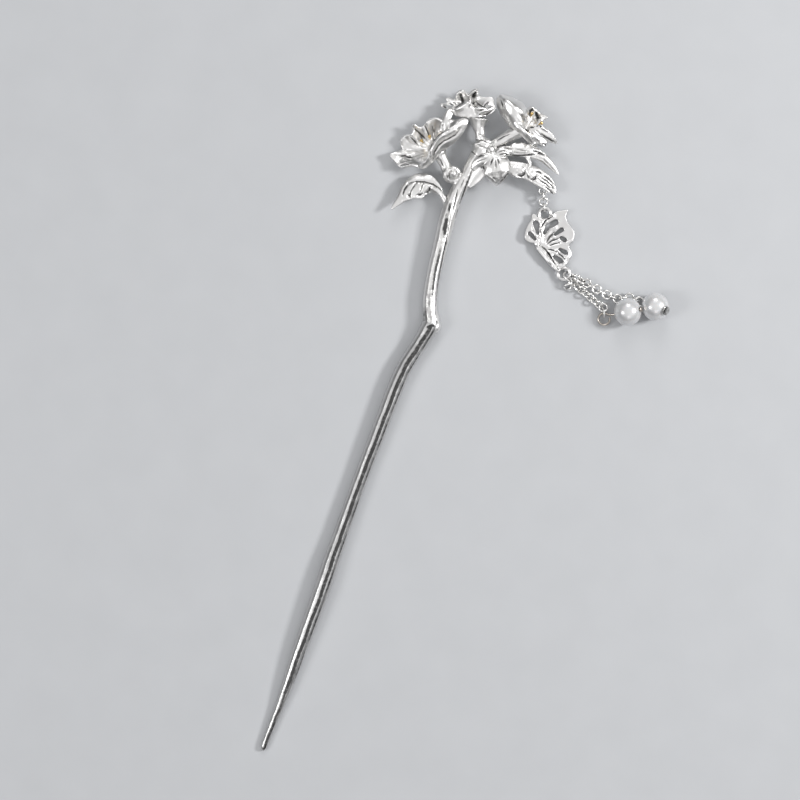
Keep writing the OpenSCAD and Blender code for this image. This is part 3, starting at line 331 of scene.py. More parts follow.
def start_edit(name):
    piece = bpy.context.object
    piece.name = name
    piece.data.name = name
    bpy.ops.object.mode_set(mode="EDIT")
    bpy.ops.mesh.select_mode(type="VERT")
    mesh = bmesh.from_edit_mesh(piece.data)
    mesh.verts.ensure_lookup_table()
    return piece, mesh


def end_edit():
    bpy.ops.object.mode_set(mode="OBJECT")


def start_ring(name, count, radius):
    lay_down()
    bpy.ops.mesh.primitive_circle_add(vertices=count, radius=radius * mm)
    piece, mesh = start_edit(name)
    return piece, mesh, list(mesh.verts)


def pick(mesh, verts):
    """Selects these vertices and what lies between them, and nothing else."""
    bpy.ops.mesh.select_all(action="DESELECT")
    for v in verts:
        v.select_set(True)
    mesh.select_flush(True)


def seat(verts, points):
    """Moves each vertex to its point, given in millimetres."""
    bpy.ops.mesh.select_all(action="DESELECT")
    for v, p in zip(verts, points):
        v.select_set(True)
        bpy.ops.transform.translate(value=Vector(p) * mm - v.co)
        v.select_set(False)


def draw_out(mesh, loop):
    """Extrudes an open loop and returns the new loop in the same order."""
    pick(mesh, loop)
    bpy.ops.mesh.extrude_region_move()
    return [next(e.other_vert(v) for e in v.link_edges if e.other_vert(v).select) for v in loop]


def fill(mesh, loop):
    pick(mesh, loop)
    bpy.ops.mesh.edge_face_add()


def close_up():
    """Turns every face outwards and ends the edit."""
    bpy.ops.mesh.select_all(action="SELECT")
    bpy.ops.mesh.normals_make_consistent(inside=False)
    end_edit()


def apply_modifier(piece, name, kind, **values):
    take_up(piece)
    m = piece.modifiers.new(name, kind)
    for key, value in values.items():
        setattr(m, key, value)
    if hasattr(m, "levels"):
        m.render_levels = m.levels
    bpy.ops.object.modifier_apply(modifier=m.name)


def bar(name, rows, sides=12, carried=False):
    """A round bar drawn from a circle through rows of (x, y, z, width). Where the section is
    carried, it doesn't turn over in a steep bend."""
    piece, mesh, first = start_ring(name, sides, rows[0][3] / 2)
    loop = first
    places = [Vector(row[:3]) for row in rows]
    for i, place in enumerate(places):
        way = (places[min(i + 1, len(rows) - 1)] - places[max(i - 1, 0)]).normalized()
        if i == 0 or not carried:
            side = way.cross(UP).normalized()
        if carried:
            side = (side - way * side.dot(way)).normalized()
        up = side.cross(way)
        if i:
            loop = draw_out(mesh, loop)
        turns = [k * 2 * pi / sides for k in range(sides)]
        seat(loop, [place + (side * cos(t) + up * sin(t)) * rows[i][3] / 2 for t in turns])
    fill(mesh, first)
    fill(mesh, loop)
    close_up()
    return piece


def wire(name, points, width, sides):
    """A bent wire of one width, a little thinner at its two ends."""
    ends = (0, len(points) - 1)
    rows = [tuple(p) + (width * (0.72 if i in ends else 1),) for i, p in enumerate(points)]
    return bar(name, rows, sides, carried=True)


def join(name, pieces):
    lay_down()
    for p in pieces:
        p.select_set(True)
    bpy.context.view_layer.objects.active = pieces[0]
    bpy.ops.object.join()
    pieces[0].name = name
    pieces[0].data.name = name
    return pieces[0]


def soften(piece, times):
    apply_modifier(piece, "soften", "SMOOTH", factor=0.5, iterations=times)


def melt(piece, voxel, smooth=2):
    """Runs the joined metal together into one skin, as in the mould."""
    apply_modifier(piece, "melt", "REMESH", mode="VOXEL", voxel_size=voxel * mm, adaptivity=0.0)
    soften(piece, smooth)


def mark(u, v):
    """A mark on the drawing of the spray, in millimetres from the bend. The drawing is at four
    to the millimetre, across and down from its top left corner."""
    return Vector(((u - 30) / 4, (225 - v) / 4))


# Chasing: how far round a line the metal is searched, how far the painted shade runs out beyond the
# line, and the length from which a line thins out towards its ends
SEARCHED, SHADE_EDGE, THINNED_FROM = 0.4, 0.16, 0.6


def press(depth, reach, *lines, facing=0.1, core=0.13, dark=1.0, at=mark, thin=True):
    """Chases lines into the piece taken up, or raises them where the depth is negative.

    A line runs from mark to mark, x and y of each in turn, and is as wide as its core. The metal
    follows as far as the reach. Where a line is chased in, shade is painted along it into a vertex
    attribute, as strong as dark.
    """
    piece = bpy.context.object
    bpy.ops.object.mode_set(mode="EDIT")
    bpy.ops.mesh.select_mode(type="VERT")
    mesh = bmesh.from_edit_mesh(piece.data)
    painted_shade = mesh.verts.layers.float.get("painted_shade") or mesh.verts.layers.float.new("painted_shade")
    top = [(v, Vector((v.co.x, v.co.y)) / mm) for v in mesh.verts if v.normal.z > facing]
    for line in lines:
        marks = [at(*m) for m in zip(line[::2], line[1::2])]
        if len(marks) == 1:
            marks.append(marks[0] + Vector((0.05, 0.05)))
        xs, ys = [m.x for m in marks], [m.y for m in marks]
        west, east = min(xs) - SEARCHED, max(xs) + SEARCHED
        south, north = min(ys) - SEARCHED, max(ys) + SEARCHED
        runs = [0]
        for a, b in zip(marks, marks[1:]):
            runs.append(runs[-1] + (b - a).length)
        bpy.ops.mesh.select_all(action="DESELECT")
        found = False
        for v, p in top:
            if not (west < p.x < east and south < p.y < north):
                continue
            near, part = SEARCHED * 20, 0.5
            for n, (a, b) in enumerate(zip(marks, marks[1:])):
                along = max(0, min(1, (p - a).dot(b - a) / (b - a).length_squared))
                gap = (p - a - (b - a) * along).length
                if gap < near:
                    near, part = gap, (runs[n] + along * (b - a).length) / runs[-1]
            thinned = thin and runs[-1] > THINNED_FROM
            full = min(1, 0.5 + 1.8 * min(part, 1 - part)) if thinned else 1
            if near < core * (0.4 + 0.6 * full):
                v.select_set(True)
                found = True
            # Painted shade along the chased line, fading out beyond its core
            if depth > 0 and near < core + SHADE_EDGE:
                faded = max(0, near - core * 0.6) / (SHADE_EDGE + core * 0.4)
                v[painted_shade] = max(v[painted_shade], dark * full * (1 - faded))
        if found:
            bpy.ops.transform.translate(
                value=(0, 0, -depth * mm), use_proportional_edit=True,
                use_proportional_connected=True, proportional_size=reach * mm,
                proportional_edit_falloff="SHARP" if depth > 0 else "SMOOTH")
    end_edit()
    soften(piece, 1)


def branch_rows(rows, width, steps=None):
    points = [tuple(on_spray(*r[:3])) + (r[3] * width,) for r in rows]
    return open_curve(points, steps or 2 * (len(rows) - 1))


# The open flowers
def flower(name, rows, throat, width, heading, rise, throat_z, throat_r):
    """A trumpet flower drawn out of its throat, which faces along the heading and rise."""
    middle = on_spray(*throat, throat_z)
    axis = aim(heading, rise)
    side = Vector((sin(radians(heading)), -cos(radians(heading)), 0))
    up = side.cross(axis)
    turns = [radians(row[0]) for row in rows]
    roots = [middle + (side * cos(t) + up * sin(t)) * throat_r for t in turns]
    crests = [from_root(throat, width, *row[1:4]) for row in rows]
    rims = [from_root(throat, width, *row[4:]) for row in rows]
    around = 3 * len(rows)
    along = 9
    piece, mesh, loop = start_ring(name, around, throat_r)
    for j in range(along + 1):
        if j:
            loop = draw_out(mesh, loop)
        points = []
        for k in range(around):
            root = Vector(round_at(roots, k / 3))
            lines = [root - axis * PETAL, root, round_at(crests, k / 3), round_at(rims, k / 3)]
            points.append(open_at(lines, 0.5 + 2.5 * j / along))
        seat(loop, points)
    end_edit()
    apply_modifier(
        piece, "wall", "SOLIDIFY", thickness=PETAL * mm, offset=0.0, use_even_offset=False)
    return piece


# Leaves and single petals
def blade_point(lines, t, across, teeth):
    """A point of the blade: t rows up its length, from -1 at its left edge to 1 at its right."""
    here = open_at(lines, t)
    last = len(lines) - 1
    a, b = open_at(lines, min(t + 0.05, last)), open_at(lines, max(t - 0.05, 0))
    left = Vector((b[1] - a[1], a[0] - b[0], 0)).normalized()
    reach = here[3] if across < 0 else here[4]
    drop = here[5] if across < 0 else here[6]
    if across < 0 and 0.9 < t < 3.6:
        reach *= 1 + teeth * abs(sin(t * 1.35 * pi))
    return Vector(here[:3]) - left * across * reach - Vector((0, 0, drop * across * across))


def blade(name, rows, root, length, thickness, steps=14, across=6, teeth=0):
    """A leaf or petal hammered from a flat grid; teeth notch its left edge."""
    at = on_spray(*root)
    lines = [
        (at.x + x * length, at.y + y * length, z * RELIEF,
         left * length, right * length, left_drop * RELIEF, right_drop * RELIEF)
        for x, y, z, left, right, left_drop, right_drop in rows
    ]
    lay_down()
    bpy.ops.mesh.primitive_grid_add(x_subdivisions=across, y_subdivisions=steps, size=length * mm)
    piece, mesh = start_edit(name)
    points = [
        blade_point(lines, j * (len(rows) - 1) / steps, 2 * k / across - 1, teeth)
        for j in range(steps + 1)
        for k in range(across + 1)
    ]
    seat(list(mesh.verts), points)
    close_up()
    apply_modifier(piece, "wall", "SOLIDIFY", thickness=thickness * mm, offset=0.0)
    return piece


def into_frame(piece):
    """Turns a piece of the spray about the bend into the part's own frame."""
    take_up(piece)
    piece.rotation_euler = (0, 0, radians(LEAN))
    piece.location = (BEND_SIDE * mm, SHAFT_LENGTH * mm, 0)
    bpy.ops.object.transform_apply()
    return piece


def finished(piece, material, slot, *nodes, angle=None):
    """Polishes the piece; edges sharper than the angle, where one is given, stay crisp."""
    take_up(piece)
    if angle:
        bpy.ops.object.shade_smooth_by_angle(angle=radians(angle))
    else:
        bpy.ops.object.shade_smooth()
    piece.data.materials.clear()
    piece.data.materials.append(material)
    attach(piece, "root")
    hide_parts(*nodes)


# Finishes
def feed(tree, shader, inputs):
    """Sets a shader node's inputs to numbers, or wires other nodes' outputs into them."""
    for key, value in inputs.items():
        if hasattr(value, "is_linked"):
            tree.links.new(value, shader.inputs[key])
        else:
            shader.inputs[key].default_value = value


def node(tree, kind, output, inputs, **settings):
    made = tree.nodes.new("ShaderNode" + kind)
    for key, value in settings.items():
        setattr(made, key, value)
    feed(tree, made, inputs)
    return made.outputs[output]


def noise(tree, scale, detail, rough=0.5):
    place = node(tree, "TexCoord", "Object", {})
    return node(tree, "TexNoise", "Fac", {
        "Vector": place, "Scale": scale, "Detail": detail, "Roughness": rough})


def spread(tree, value, low, high, to_low, to_high):
    return node(tree, "MapRange", "Result", {
        "Value": value, "From Min": low, "From Max": high, "To Min": to_low, "To Max": to_high})


def blend(tree, factor, a, b):
    return node(tree, "Mix", 2, {0: factor, 6: a, 7: b}, data_type="RGBA")


def ramp(tree, value, first, last, *between):
    """Colours along a value, from stops of place and colour."""
    made = tree.nodes.new("ShaderNodeValToRGB")
    tree.links.new(value, made.inputs["Fac"])
    stops = made.color_ramp.elements
    stops[0].position, stops[0].color = first[0], first[1:] + (1,)
    stops[1].position, stops[1].color = last[0], last[1:] + (1,)
    for stop in between:
        stops.new(stop[0]).color = stop[1:] + (1,)
    return made.outputs["Color"]


def bump(tree, height, strength, distance):
    return node(tree, "Bump", "Normal", {
        "Height": height, "Strength": strength, "Distance": distance * mm})


def material(name, look, *values):
    """A material whose main shader takes the inputs that the look gives."""
    made = bpy.data.materials.new(name)
    made.use_nodes = True
    tree = made.node_tree
    feed(tree, tree.nodes["Principled BSDF"], look(tree, *values))
    return made


def metal(tree, colour, shade_colour, rough, pocket, grain, dent):
    """Metal with painted shade in its hollows, from ambient occlusion, and along its chased lines,
    with dents and fine casting grain.
    """
    # Ambient occlusion darkens the colour towards the shade colour in the hollows: painted shade
    hollow = node(tree, "AmbientOcclusion", "AO", {"Distance": pocket * mm}, samples=8)
    patches = spread(tree, noise(tree, 420, 2, 0.55), 0.3, 0.7, 0.0, 1.0)
    body = blend(tree, patches, colour + (1,), tuple(c * 0.96 for c in colour) + (1,))
    body = blend(tree, spread(tree, hollow, 0.25, 0.85, 1.0, 0.0), body, shade_colour + (1,))
    # The chased lines' painted shade, mottled by speckle, darkens the colour nearly to black
    chased = node(tree, "Attribute", "Fac", {}, attribute_name="painted_shade")
    speckle = spread(tree, noise(tree, 1300, 3, 0.55), 0.35, 0.65, -0.13, 0.13)
    painted_shade = node(tree, "Math", 0, {0: chased, 1: speckle}, operation="ADD")
    deep_shade = tuple(c * 0.35 for c in shade_colour) + (1,)
    body = blend(tree, spread(tree, painted_shade, 0.24, 0.76, 0.0, 0.92), body, deep_shade)
    low = node(tree, "Math", 0, {0: noise(tree, dent[0], 2), 1: dent[1]}, operation="MULTIPLY")
    height = node(tree, "Math", 0, {
        0: noise(tree, grain[0], 4, 0.6), 1: grain[1], 2: low}, operation="MULTIPLY_ADD")
    return {
        "Metallic": 1.0, "Base Color": body,
        "Roughness": spread(tree, noise(tree, 900, 5, 0.55), 0.3, 0.7, *rough),
        "Normal": bump(tree, height, 1.0, 1.0)}


def pearl_skin(tree):
    return {
        "Base Color": ramp(
            tree, noise(tree, 260, 3), (0.3, 0.6, 0.6, 0.61), (0.7, 0.7, 0.7, 0.7)),
        "Normal": bump(tree, noise(tree, 1500, 4), 0.5, 0.03),
        "Metallic": 0.25, "Roughness": 0.3, "Subsurface Weight": 0.15,
        "Subsurface Radius": (1.0, 0.8, 0.7), "Subsurface Scale": 0.6 * mm, "Coat Weight": 1.0,
        "Coat IOR": 1.7, "Coat Roughness": 0.14, "Sheen Weight": 0.15}


def stone(tree):
    return {
        "Base Color": ramp(
            tree, noise(tree, 90, 6), (0, 0.48, 0.49, 0.505), (1, 0.52, 0.53, 0.545)),
        "Roughness": 0.7}


# Each metal: colour, colour of its painted shade, roughness from and to, reach of the painted shade
# in its hollows, and how fine and how high its grain and its dents are
# Grey of the painted shade in hollows and along chased lines
SHADE_GREY = (0.1, 0.1, 0.1)
cast_silver = material(
    "cast_silver", metal, (0.9, 0.89, 0.875), SHADE_GREY, (0.3, 0.46), 1.5,
    (2400, 0.034), (420, 0.06))
# The shaft's silver is the cast silver made darker: painted shade on the shaft
shaded_shaft_silver = material(
    "shaded_shaft_silver", metal, (0.66, 0.655, 0.65), SHADE_GREY, (0.28, 0.4), 1.5,
    (2400, 0.012), (420, 0.05))
petal_silver = material(
    "petal_silver", metal, (0.91, 0.9, 0.885), SHADE_GREY, (0.29, 0.4), 1.2,
    (3000, 0.003), (260, 0.03))
satin_silver = material(
    "satin_silver", metal, (0.88, 0.87, 0.86), SHADE_GREY, (0.28, 0.4), 0.9,
    (3000, 0.004), (300, 0.03))
wire_silver = material(
    "wire_silver", metal, (0.96, 0.95, 0.93), (0.22, 0.21, 0.2), (0.16, 0.28), 0.35,
    (3500, 0.008), (700, 0.03))
warm_wire = material(
    "warm_wire", metal, (0.6, 0.55, 0.5), (0.2, 0.15, 0.11), (0.16, 0.28), 0.35,
    (3500, 0.012), (700, 0.05))
gold = material(
    "gold", metal, (0.84, 0.6, 0.26), (0.16, 0.09, 0.03), (0.26, 0.42), 0.5,
    (4200, 0.06), (1500, 0.08))
pearl_white = material("pearl", pearl_skin)

# The stick with its trunk and stems, run together
shaft_rows = [(0, 0, 0.55, 0.66), (0, 0.275, 0.605, 1.1)]
for place, bow, width in SHAFT:
    w = width * STICK_WIDTH
    rest = w / 2 + 0.011 + (BEND_HEIGHT - SHAFT[-1][2] * STICK_WIDTH / 2) * place * place
    shaft_rows.append((bow * STICK_WIDTH, place * SHAFT_LENGTH, rest, w))
# The shaft's head turns up into the neck, so that the bend has a round shoulder
shaft_rows += [(-0.06, 115.2, 2.42, 4.1), (-0.3, 115.9, 2.42, 3.6), (-0.55, 116.5, 2.42, 2.4)]
shaft = bar("shaft", open_curve(shaft_rows, 46))

neck_rows = [(-0.48, -1.0, BEND_HEIGHT, 3.8)]
for place, sideways, width in NECK:
    neck_rows.append((
        sideways * NECK_LENGTH, place * NECK_LENGTH,
        BEND_HEIGHT + (FORK_HEIGHT - BEND_HEIGHT) * place, width * STICK_WIDTH))
neck = bar("neck", open_curve(neck_rows + branch_rows(TRUNK, STICK_WIDTH, 5), 36))
bend = bar("bend", BEND)
stems = [
    bar("stem", branch_rows(rows, STEM_WIDTH), 10)
    for rows in (STEM_LEFT, STEM_TOP, STEM_RIGHT, LEAF_STEM, TWIG_LONG, TWIG_LOW)
]
for rows in SEPALS:
    sepal = [tuple(mark(u, v)) + (z, w) for u, v, z, w in rows]
    stems.append(bar("sepal", open_curve(sepal, 6), 8))
branches = join("branches", [neck, bend] + stems)
melt(branches, 0.17, 1)
take_up(branches)
# Chased lines on the trunk, stems and sepals, with shade painted along them
press(0.22, 0.6, [72, 68, 69, 77, 65.5, 86, 63, 93, 59.5, 103], [57.5, 89, 55, 99, 52, 111])
press(0.1, 0.5, [46, 93, 47, 100], [64, 78, 60, 88], [58, 108, 55, 118], dark=0.6)
press(0.06, 0.8, [47, 114, 45.5, 124, 44, 138], [46, 120, 43, 132], core=0.5, dark=0.84)
press(0.06, 0.8,
      [42, 142, 39, 154, 36, 166, 34, 178, 32.5, 190, 31.5, 204], [50, 103, 48, 112], core=0.34,
      dark=0.78)
press(0.1, 0.4, [50, 115, 46.5, 138, 42, 158, 38, 180, 35.5, 205], dark=0.8)
press(0.1, 0.5, [34, 218, 37, 221, 37.5, 225], dark=0.7)
# Broad soft painted shade along the neck near the bend and along its left edge
press(0.02, 1.0, [29, 186, 28, 200, 29, 212, 31, 226], core=1.5, dark=0.44)
press(0.02, 1.0, [24, 206, 25, 218, 26, 228], core=0.7, dark=0.56)
press(0.18, 0.4,
      [49.3, 71, 48.5, 76, 50, 80], [53.5, 70, 56, 72, 55.8, 75.5], [46.5, 74, 47.2, 78],
      [33, 58, 38, 63], [40, 60, 43, 66], [74, 39, 83, 41, 92, 44], [78, 46, 86, 48],
      [87, 50, 95, 46], [78, 34, 84, 36], [96, 41, 103, 37, 110, 34], [70, 50, 76, 56], dark=0.7)
into_frame(branches)


def on_shaft(off, y):
    """A place on the shaft's top: sideways from its middle line, and along it."""
    across, along = open_at([r[:2] for r in shaft_rows], y)
    return Vector((across + off, along))


melt(shaft, 0.18, 1)
shade_streak = [x for n in range(51) for x in (0.22 + 0.1 * sin(n * 1.9), 17.9 - n * 0.34)]
take_up(shaft)
# Painted shade in the notch where the shaft's top end meets the bend
press(0.04, 1.0,
      [-0.35, 17.85, 0.3, 18.12, 0.8, 18.15], core=0.35, dark=0.85, at=on_shaft, thin=False)
# A wavering dark streak along the shaft's top, chased in shallow and painted with shade
for first, last, reach, core in ((0, 27, 1.2, 0.62), (27, 39, 1.0, 0.55), (39, 48, 0.6, 0.3)):
    press(0.03, reach, *[shade_streak[2 * n:2 * n + 8] for n in range(first, last, 3)],
          core=core, dark=0.8, at=on_shaft, thin=False)
press(-0.06, 0.6,
      [1.15, 18.1, 1.2, 17.6, 0.9, 17.1], [1.2, 16.6, 1.25, 15.9], core=0.25, at=on_shaft)
# Small chased pits along the shaft's edge, painted with shade
press(0.05, 0.4, *[
    [1.35 + 0.06 * sin(n * 1.3), 18.0 - n * 1.3, 1.3 + 0.06 * cos(n * 2.3), 16.7 - n * 1.3]
    for n in range(10)], dark=0.7, at=on_shaft)
dents = bpy.data.textures.new("dents", "CLOUDS")
dents.noise_scale = 2.4 * mm
dents.noise_depth = 1
for piece, silver in ((shaft, shaded_shaft_silver), (branches, cast_silver)):
    apply_modifier(
        piece, "dents", "DISPLACE", texture=dents, strength=0.07 * mm, mid_level=0.5,
        texture_coords="LOCAL")
    finished(piece, silver, "silver", "cast_spray")

left_flower = flower(
    "left_flower", FLOWER_LEFT, THROAT_LEFT, BIG_FLOWER, 120, 34, 0.47, STEM_WIDTH * 0.66)
back_petal = blade("back_petal", BACK_PETAL, THROAT_LEFT, BIG_FLOWER, PETAL * 1.2, 10)
top_flower = flower(
    "top_flower", FLOWER_TOP, THROAT_TOP, MID_FLOWER, 103, 21, 0.48, STEM_WIDTH * 0.64)
right_flower = flower(
    "right_flower", FLOWER_RIGHT, THROAT_RIGHT, MID_FLOWER, 30, 14, 0.55, STEM_WIDTH * 0.68)
hood = blade("hood", HOOD, THROAT_RIGHT, MID_FLOWER, PETAL, 16, 10)
join("left_flower", [left_flower, back_petal])
join("right_flower", [right_flower, hood])
for piece in (left_flower, top_flower, right_flower):
    melt(piece, 0.14)

# Chased folds of the left flower, with shade painted along them: its rolled front lip, the petal
# folds and the lower ruffle
take_up(left_flower)
press(0.34, 0.75,
      [30, 58, 29.5, 50, 32, 43.5, 36, 38.5, 41, 34.5, 47, 31],
      [32.5, 61, 34, 53, 38, 46.5, 43, 42, 49, 39, 55, 35.5, 59, 30.5], dark=0.8)
press(0.38, 0.7,
      [10, 36, 13, 38.5, 17, 43], [13, 27, 19, 31.5, 26, 38], [24.5, 25, 27, 30, 30, 37],
      [-1, 55, 5, 54.5, 12, 57.5])
press(0.18, 0.45,
      [37, 58, 40, 53, 45, 49], [32, 25, 34, 31], [42, 24, 43.5, 30], [0, 65, 5, 63, 10, 65],
      [4, 58.5, 11, 60], dark=0.6)
press(-0.2, 0.9, [32, 57, 32, 50, 35, 44, 40, 38.5, 47, 35, 54, 31], [-3, 52.8, 4, 51.5, 11, 53.5])
# The top flower: the sharp edge of its front petal, hollow lobes, ruffles and double lip, with
# shade painted along each chased line
take_up(top_flower)
press(0.34, 0.6,
      [54, 9, 61, 4.5, 68, 0], [49.5, 2.5, 53.8, 5], [80, 16, 86, 15, 93, 10], [42.5, 5, 46, 7.5],
      dark=0.9)
press(0.45, 0.9,
      [60.5, -6, 62, -3, 62.5, 0], [73, -5, 75.5, -7.5], core=0.36, facing=-0.5, thin=False)
press(0.2, 0.4,
      [75.5, 0.5, 81, 5.5, 87, 10], [83.5, 5.8, 87.5, 1.8], [71, 4, 75, 1], [72, 7, 77, 5.5],
      [77, 3, 80, 5], [53, 0.5, 57.5, 5], [68, -6], [78, 12, 84, 10.5], dark=0.8)
press(-0.18, 0.8, [55, 11, 62, 8, 70, 4], [79, 10, 86, 11])
# The right flower: its pointed hood with a ridge, mouth painted dark with shade, small arched lobe
# and grooved petal, with shade painted along each chased line
take_up(right_flower)
press(0.4, 0.8,
      [130, 13.8, 129.8, 10.5, 132, 8.8], [135.8, 12, 137.5, 16], core=0.32, facing=-0.5,
      thin=False)
press(0.06, 0.8, [116.5, 11.5, 120, 16, 123.5, 21, 125.5, 24.5], core=0.4, dark=0.62)
press(0.14, 0.4, [100.3, 1, 102.3, 8], dark=0.7)
press(0.15, 0.34,
      [124.5, 33, 128.5, 38.5, 132, 43.5], [126.5, 31.5, 131, 37, 134.5, 42],
      [129, 30.5, 134, 36.5, 138, 41.5], [132, 30.5, 137.5, 36, 141.5, 41],
      [135.5, 30.5, 140.5, 35, 145, 39], dark=0.5)
press(0.2, 0.38,
      [141, 34, 145, 36.7, 149.5, 39, 154.5, 41.6], [143, 43.5, 146, 44.3],
      [130, 27.5, 133.5, 27.3], [136.3, 26.5], [140, 27])
press(-0.22, 1.4, [103, 1, 107, 2.7, 112.3, 8, 117, 10.5, 122, 13.5])
press(-0.22, 0.6, [135, 26, 137.5, 23.8, 141, 25])

# The small front flower and its bract, with a heart that holds them together
small = [
    blade("petal", rows, SMALL_CENTRE, SMALL_FLOWER, PETAL * t, steps)
    for rows, t, steps in (
        (SMALL_LEFT, 1, 8), (SMALL_RIGHT, 1, 8), (SMALL_UP, 1, 6), (SMALL_DOWN, 1, 14),
        (BRACT, 1.5, 8))
]
middle = on_spray(*SMALL_CENTRE, 0.5)
small.append(bar("heart", [
    tuple(middle + Vector((0, y, z))) + (width,)
    for y, z, width in ((-2.1, 0.3, 0.9), (-1.5, 0, 3.2), (0, 0, 4.4), (1.5, 0, 3.2), (2.1, 0, 0.9))
]))
small_flower = join("small_flower", small)
melt(small_flower, 0.14)
take_up(small_flower)
# A broad soft band of painted shade, then shade painted along each chased line
press(0.1, 1.2,
      [89, 75, 96, 74.6, 103, 72.2], [93, 78.5, 100, 76.5], core=0.55, dark=0.46, thin=False)
press(0.34, 0.8, [82, 66, 83.5, 70], core=0.18)
press(0.4, 0.5, [109.5, 55, 109.7, 62, 109, 69])
press(0.15, 0.35,
      [94.5, 59, 94.8, 65, 95, 71], [96.5, 59, 98.5, 65], [92, 59, 89.5, 65],
      [98, 55.5, 104, 54.5, 108, 56.5], [97, 53, 103, 51.5, 108, 53.5],
      [98, 83.5, 104, 78, 108.5, 72], dark=0.8)
press(0.1, 0.35,
      [74, 58, 80, 56.5, 87, 56], [73, 65, 79, 61.5, 86, 59], [76, 51, 84, 53.5], dark=0.6)
press(0.1, 0.35, [94, 48, 95, 54], [88, 50, 92, 55], dark=0.5)
press(-0.12, 0.6, [85, 75, 95, 83.5])

# The leaves. The low one carries the cast eye that the drop hangs on
left_leaf = blade("left_leaf", LEAF_LEFT, LEAF_LEFT_ROOT, LEFT_LEAF, LEAF)
long_leaf = blade("long_leaf", LEAF_LONG, LEAF_LONG_ROOT, RIGHT_LEAF, LEAF, 30, 8, 0.3)
low_leaf = blade("low_leaf", LEAF_LOW, LEAF_LOW_ROOT, RIGHT_LEAF, LEAF)
bridge = bar("bridge", branch_rows(LEAF_BRIDGE, STEM_WIDTH, 8), 10)
eye_middle = from_root(LEAF_LOW_ROOT, RIGHT_LEAF, 0.6, -0.425, 0.33)
lay_down()
bpy.ops.mesh.primitive_torus_add(
    location=eye_middle * mm, major_radius=EYE_R * mm, minor_radius=EYE_METAL / 2 * mm,
    major_segments=32, minor_segments=10)
eye = take_up(bpy.context.object)
bpy.ops.object.transform_apply()
right_leaves = join("right_leaves", [long_leaf, low_leaf, bridge, eye])
for piece in (left_leaf, right_leaves):
    melt(piece, 0.13)
take_up(left_leaf)
# Chased veins and edge lines, with shade painted along them
press(0.28, 0.5, [8, 82.5, 15, 81, 24, 81, 33, 83.5, 40, 88.5, 45, 96])
press(0.18, 0.5,
      [16, 81.5, 13.5, 86, 10.5, 91, 9.5, 97], [8, 83, 4.5, 88, 2.5, 94],
      [23.5, 82, 21.5, 87, 20.5, 91], [31, 84, 29.5, 88, 27.5, 91], dark=0.85)
press(0.32, 0.7, [18, 94.5, 21.5, 93.5], [26, 92, 29, 90.5], [9, 95], core=0.16)
press(-0.2, 0.7, [22, 83.5, 30, 85.5, 37, 90, 42, 96], [4, 100, 12, 98.5, 22, 97.5, 30, 94])
take_up(right_leaves)
# Chased veins and edge lines, with shade painted along them
press(0.28, 0.5,
      [110, 55.3, 117, 55.6, 125, 55.2, 134, 54.6], [133, 50.3, 138, 52, 144, 54.5],
      [136, 54, 139.5, 52.8], [140, 76.5, 146, 80, 150.5, 84, 153.5, 88],
      [144, 85.5, 149, 89, 153, 93.5], [138, 79, 145, 83, 149.5, 87],
      [143, 74.5, 149, 78.5, 153, 83], [117.5, 75.3, 121.5, 76, 124.3, 73.5, 124.8, 69.8],
      [131.5, 80, 134.8, 78.6, 136, 75])
press(0.12, 0.4,
      [137, 56.5, 143, 58.5, 150, 65, 156, 72], [114, 49.5, 121, 50.3, 128, 51.5],
      [112, 52, 119, 53, 127, 53], [114, 67, 120, 63.5], dark=0.6)
press(0.16, 0.4, [135.5, 70.2, 138.5, 71, 141.5, 73], [126, 71.5, 128, 78], dark=0.8)
press(-0.2, 0.9, [119, 69.5, 121, 70], [129.5, 74, 131.5, 75.5], core=0.3)
press(-0.15, 0.6, [112, 74, 120, 79, 128, 81.5, 136, 85])
for piece in (left_flower, top_flower, right_flower, small_flower, left_leaf, right_leaves):
    finished(into_frame(piece), petal_silver, "silver", "cast_spray")


# The drop
def ring_piece(name, middle, normal, across, wire, around=40, sides=12):
    """A ring of wire with its closed seam, laid flat and then turned to its normal."""
    lay_down()
    r = (across - wire) / 2
    bpy.ops.mesh.primitive_torus_add(
        major_radius=r * mm, minor_radius=wire / 2 * mm, major_segments=around,
        minor_segments=sides)
    piece, mesh = start_edit(name)
    pick(mesh, [v for v in mesh.verts if v.co.x > 0 and abs(v.co.y) < 0.06 * wire * mm])
    bpy.ops.transform.resize(value=(0.95, 1, 0.88), center_override=(r * mm, 0, 0))
    end_edit()
    turn_to(piece, middle, normal)
    return piece


def turn_to(piece, middle, normal):
    take_up(piece)
    tilt = acos(max(-1, min(1, normal.z / normal.length)))
    piece.rotation_euler = (0, tilt, atan2(normal.y, normal.x))
    piece.location = Vector(middle) * mm
    bpy.ops.object.transform_apply()


def link_normal(way, roll):
    side = way.cross(UP).normalized()
    return side * cos(radians(roll)) + side.cross(way) * sin(radians(roll))


# Where everything in the drop lies, from the cast eye to the two pearls
link_r = (LINK - LINK_WIRE) / 2
loop_r = (LOOP - LOOP_WIRE) / 2
near_r = (NEAR_EYE - PIN_WIRE) / 2
far_r = (FAR_EYE - PIN_WIRE) / 2
pitch = 2 * link_r - LINK_WIRE - PLAY
eye_step = link_r - (LINK_WIRE + EYE_WIRE) / 2 - PLAY
loop_step = link_r - (LINK_WIRE + LOOP_WIRE) / 2 - PLAY
top_length = eye_step + 2 * pitch + loop_step
top_way = aim(TOP_HEADING, -degrees(asin((eye_middle.z - PLATE_MIDDLE) / top_length)))
top_from = eye_middle + flat(TOP_HEADING) * EYE_R
top_middles = [top_from + top_way * (eye_step + n * pitch) for n in range(3)]
butterfly_at = top_middles[2] + top_way * loop_step + flat(TOP_HEADING) * loop_r
low_loop = butterfly_at + Vector(LOW_LOOP + (0,)) * BUTTERFLY
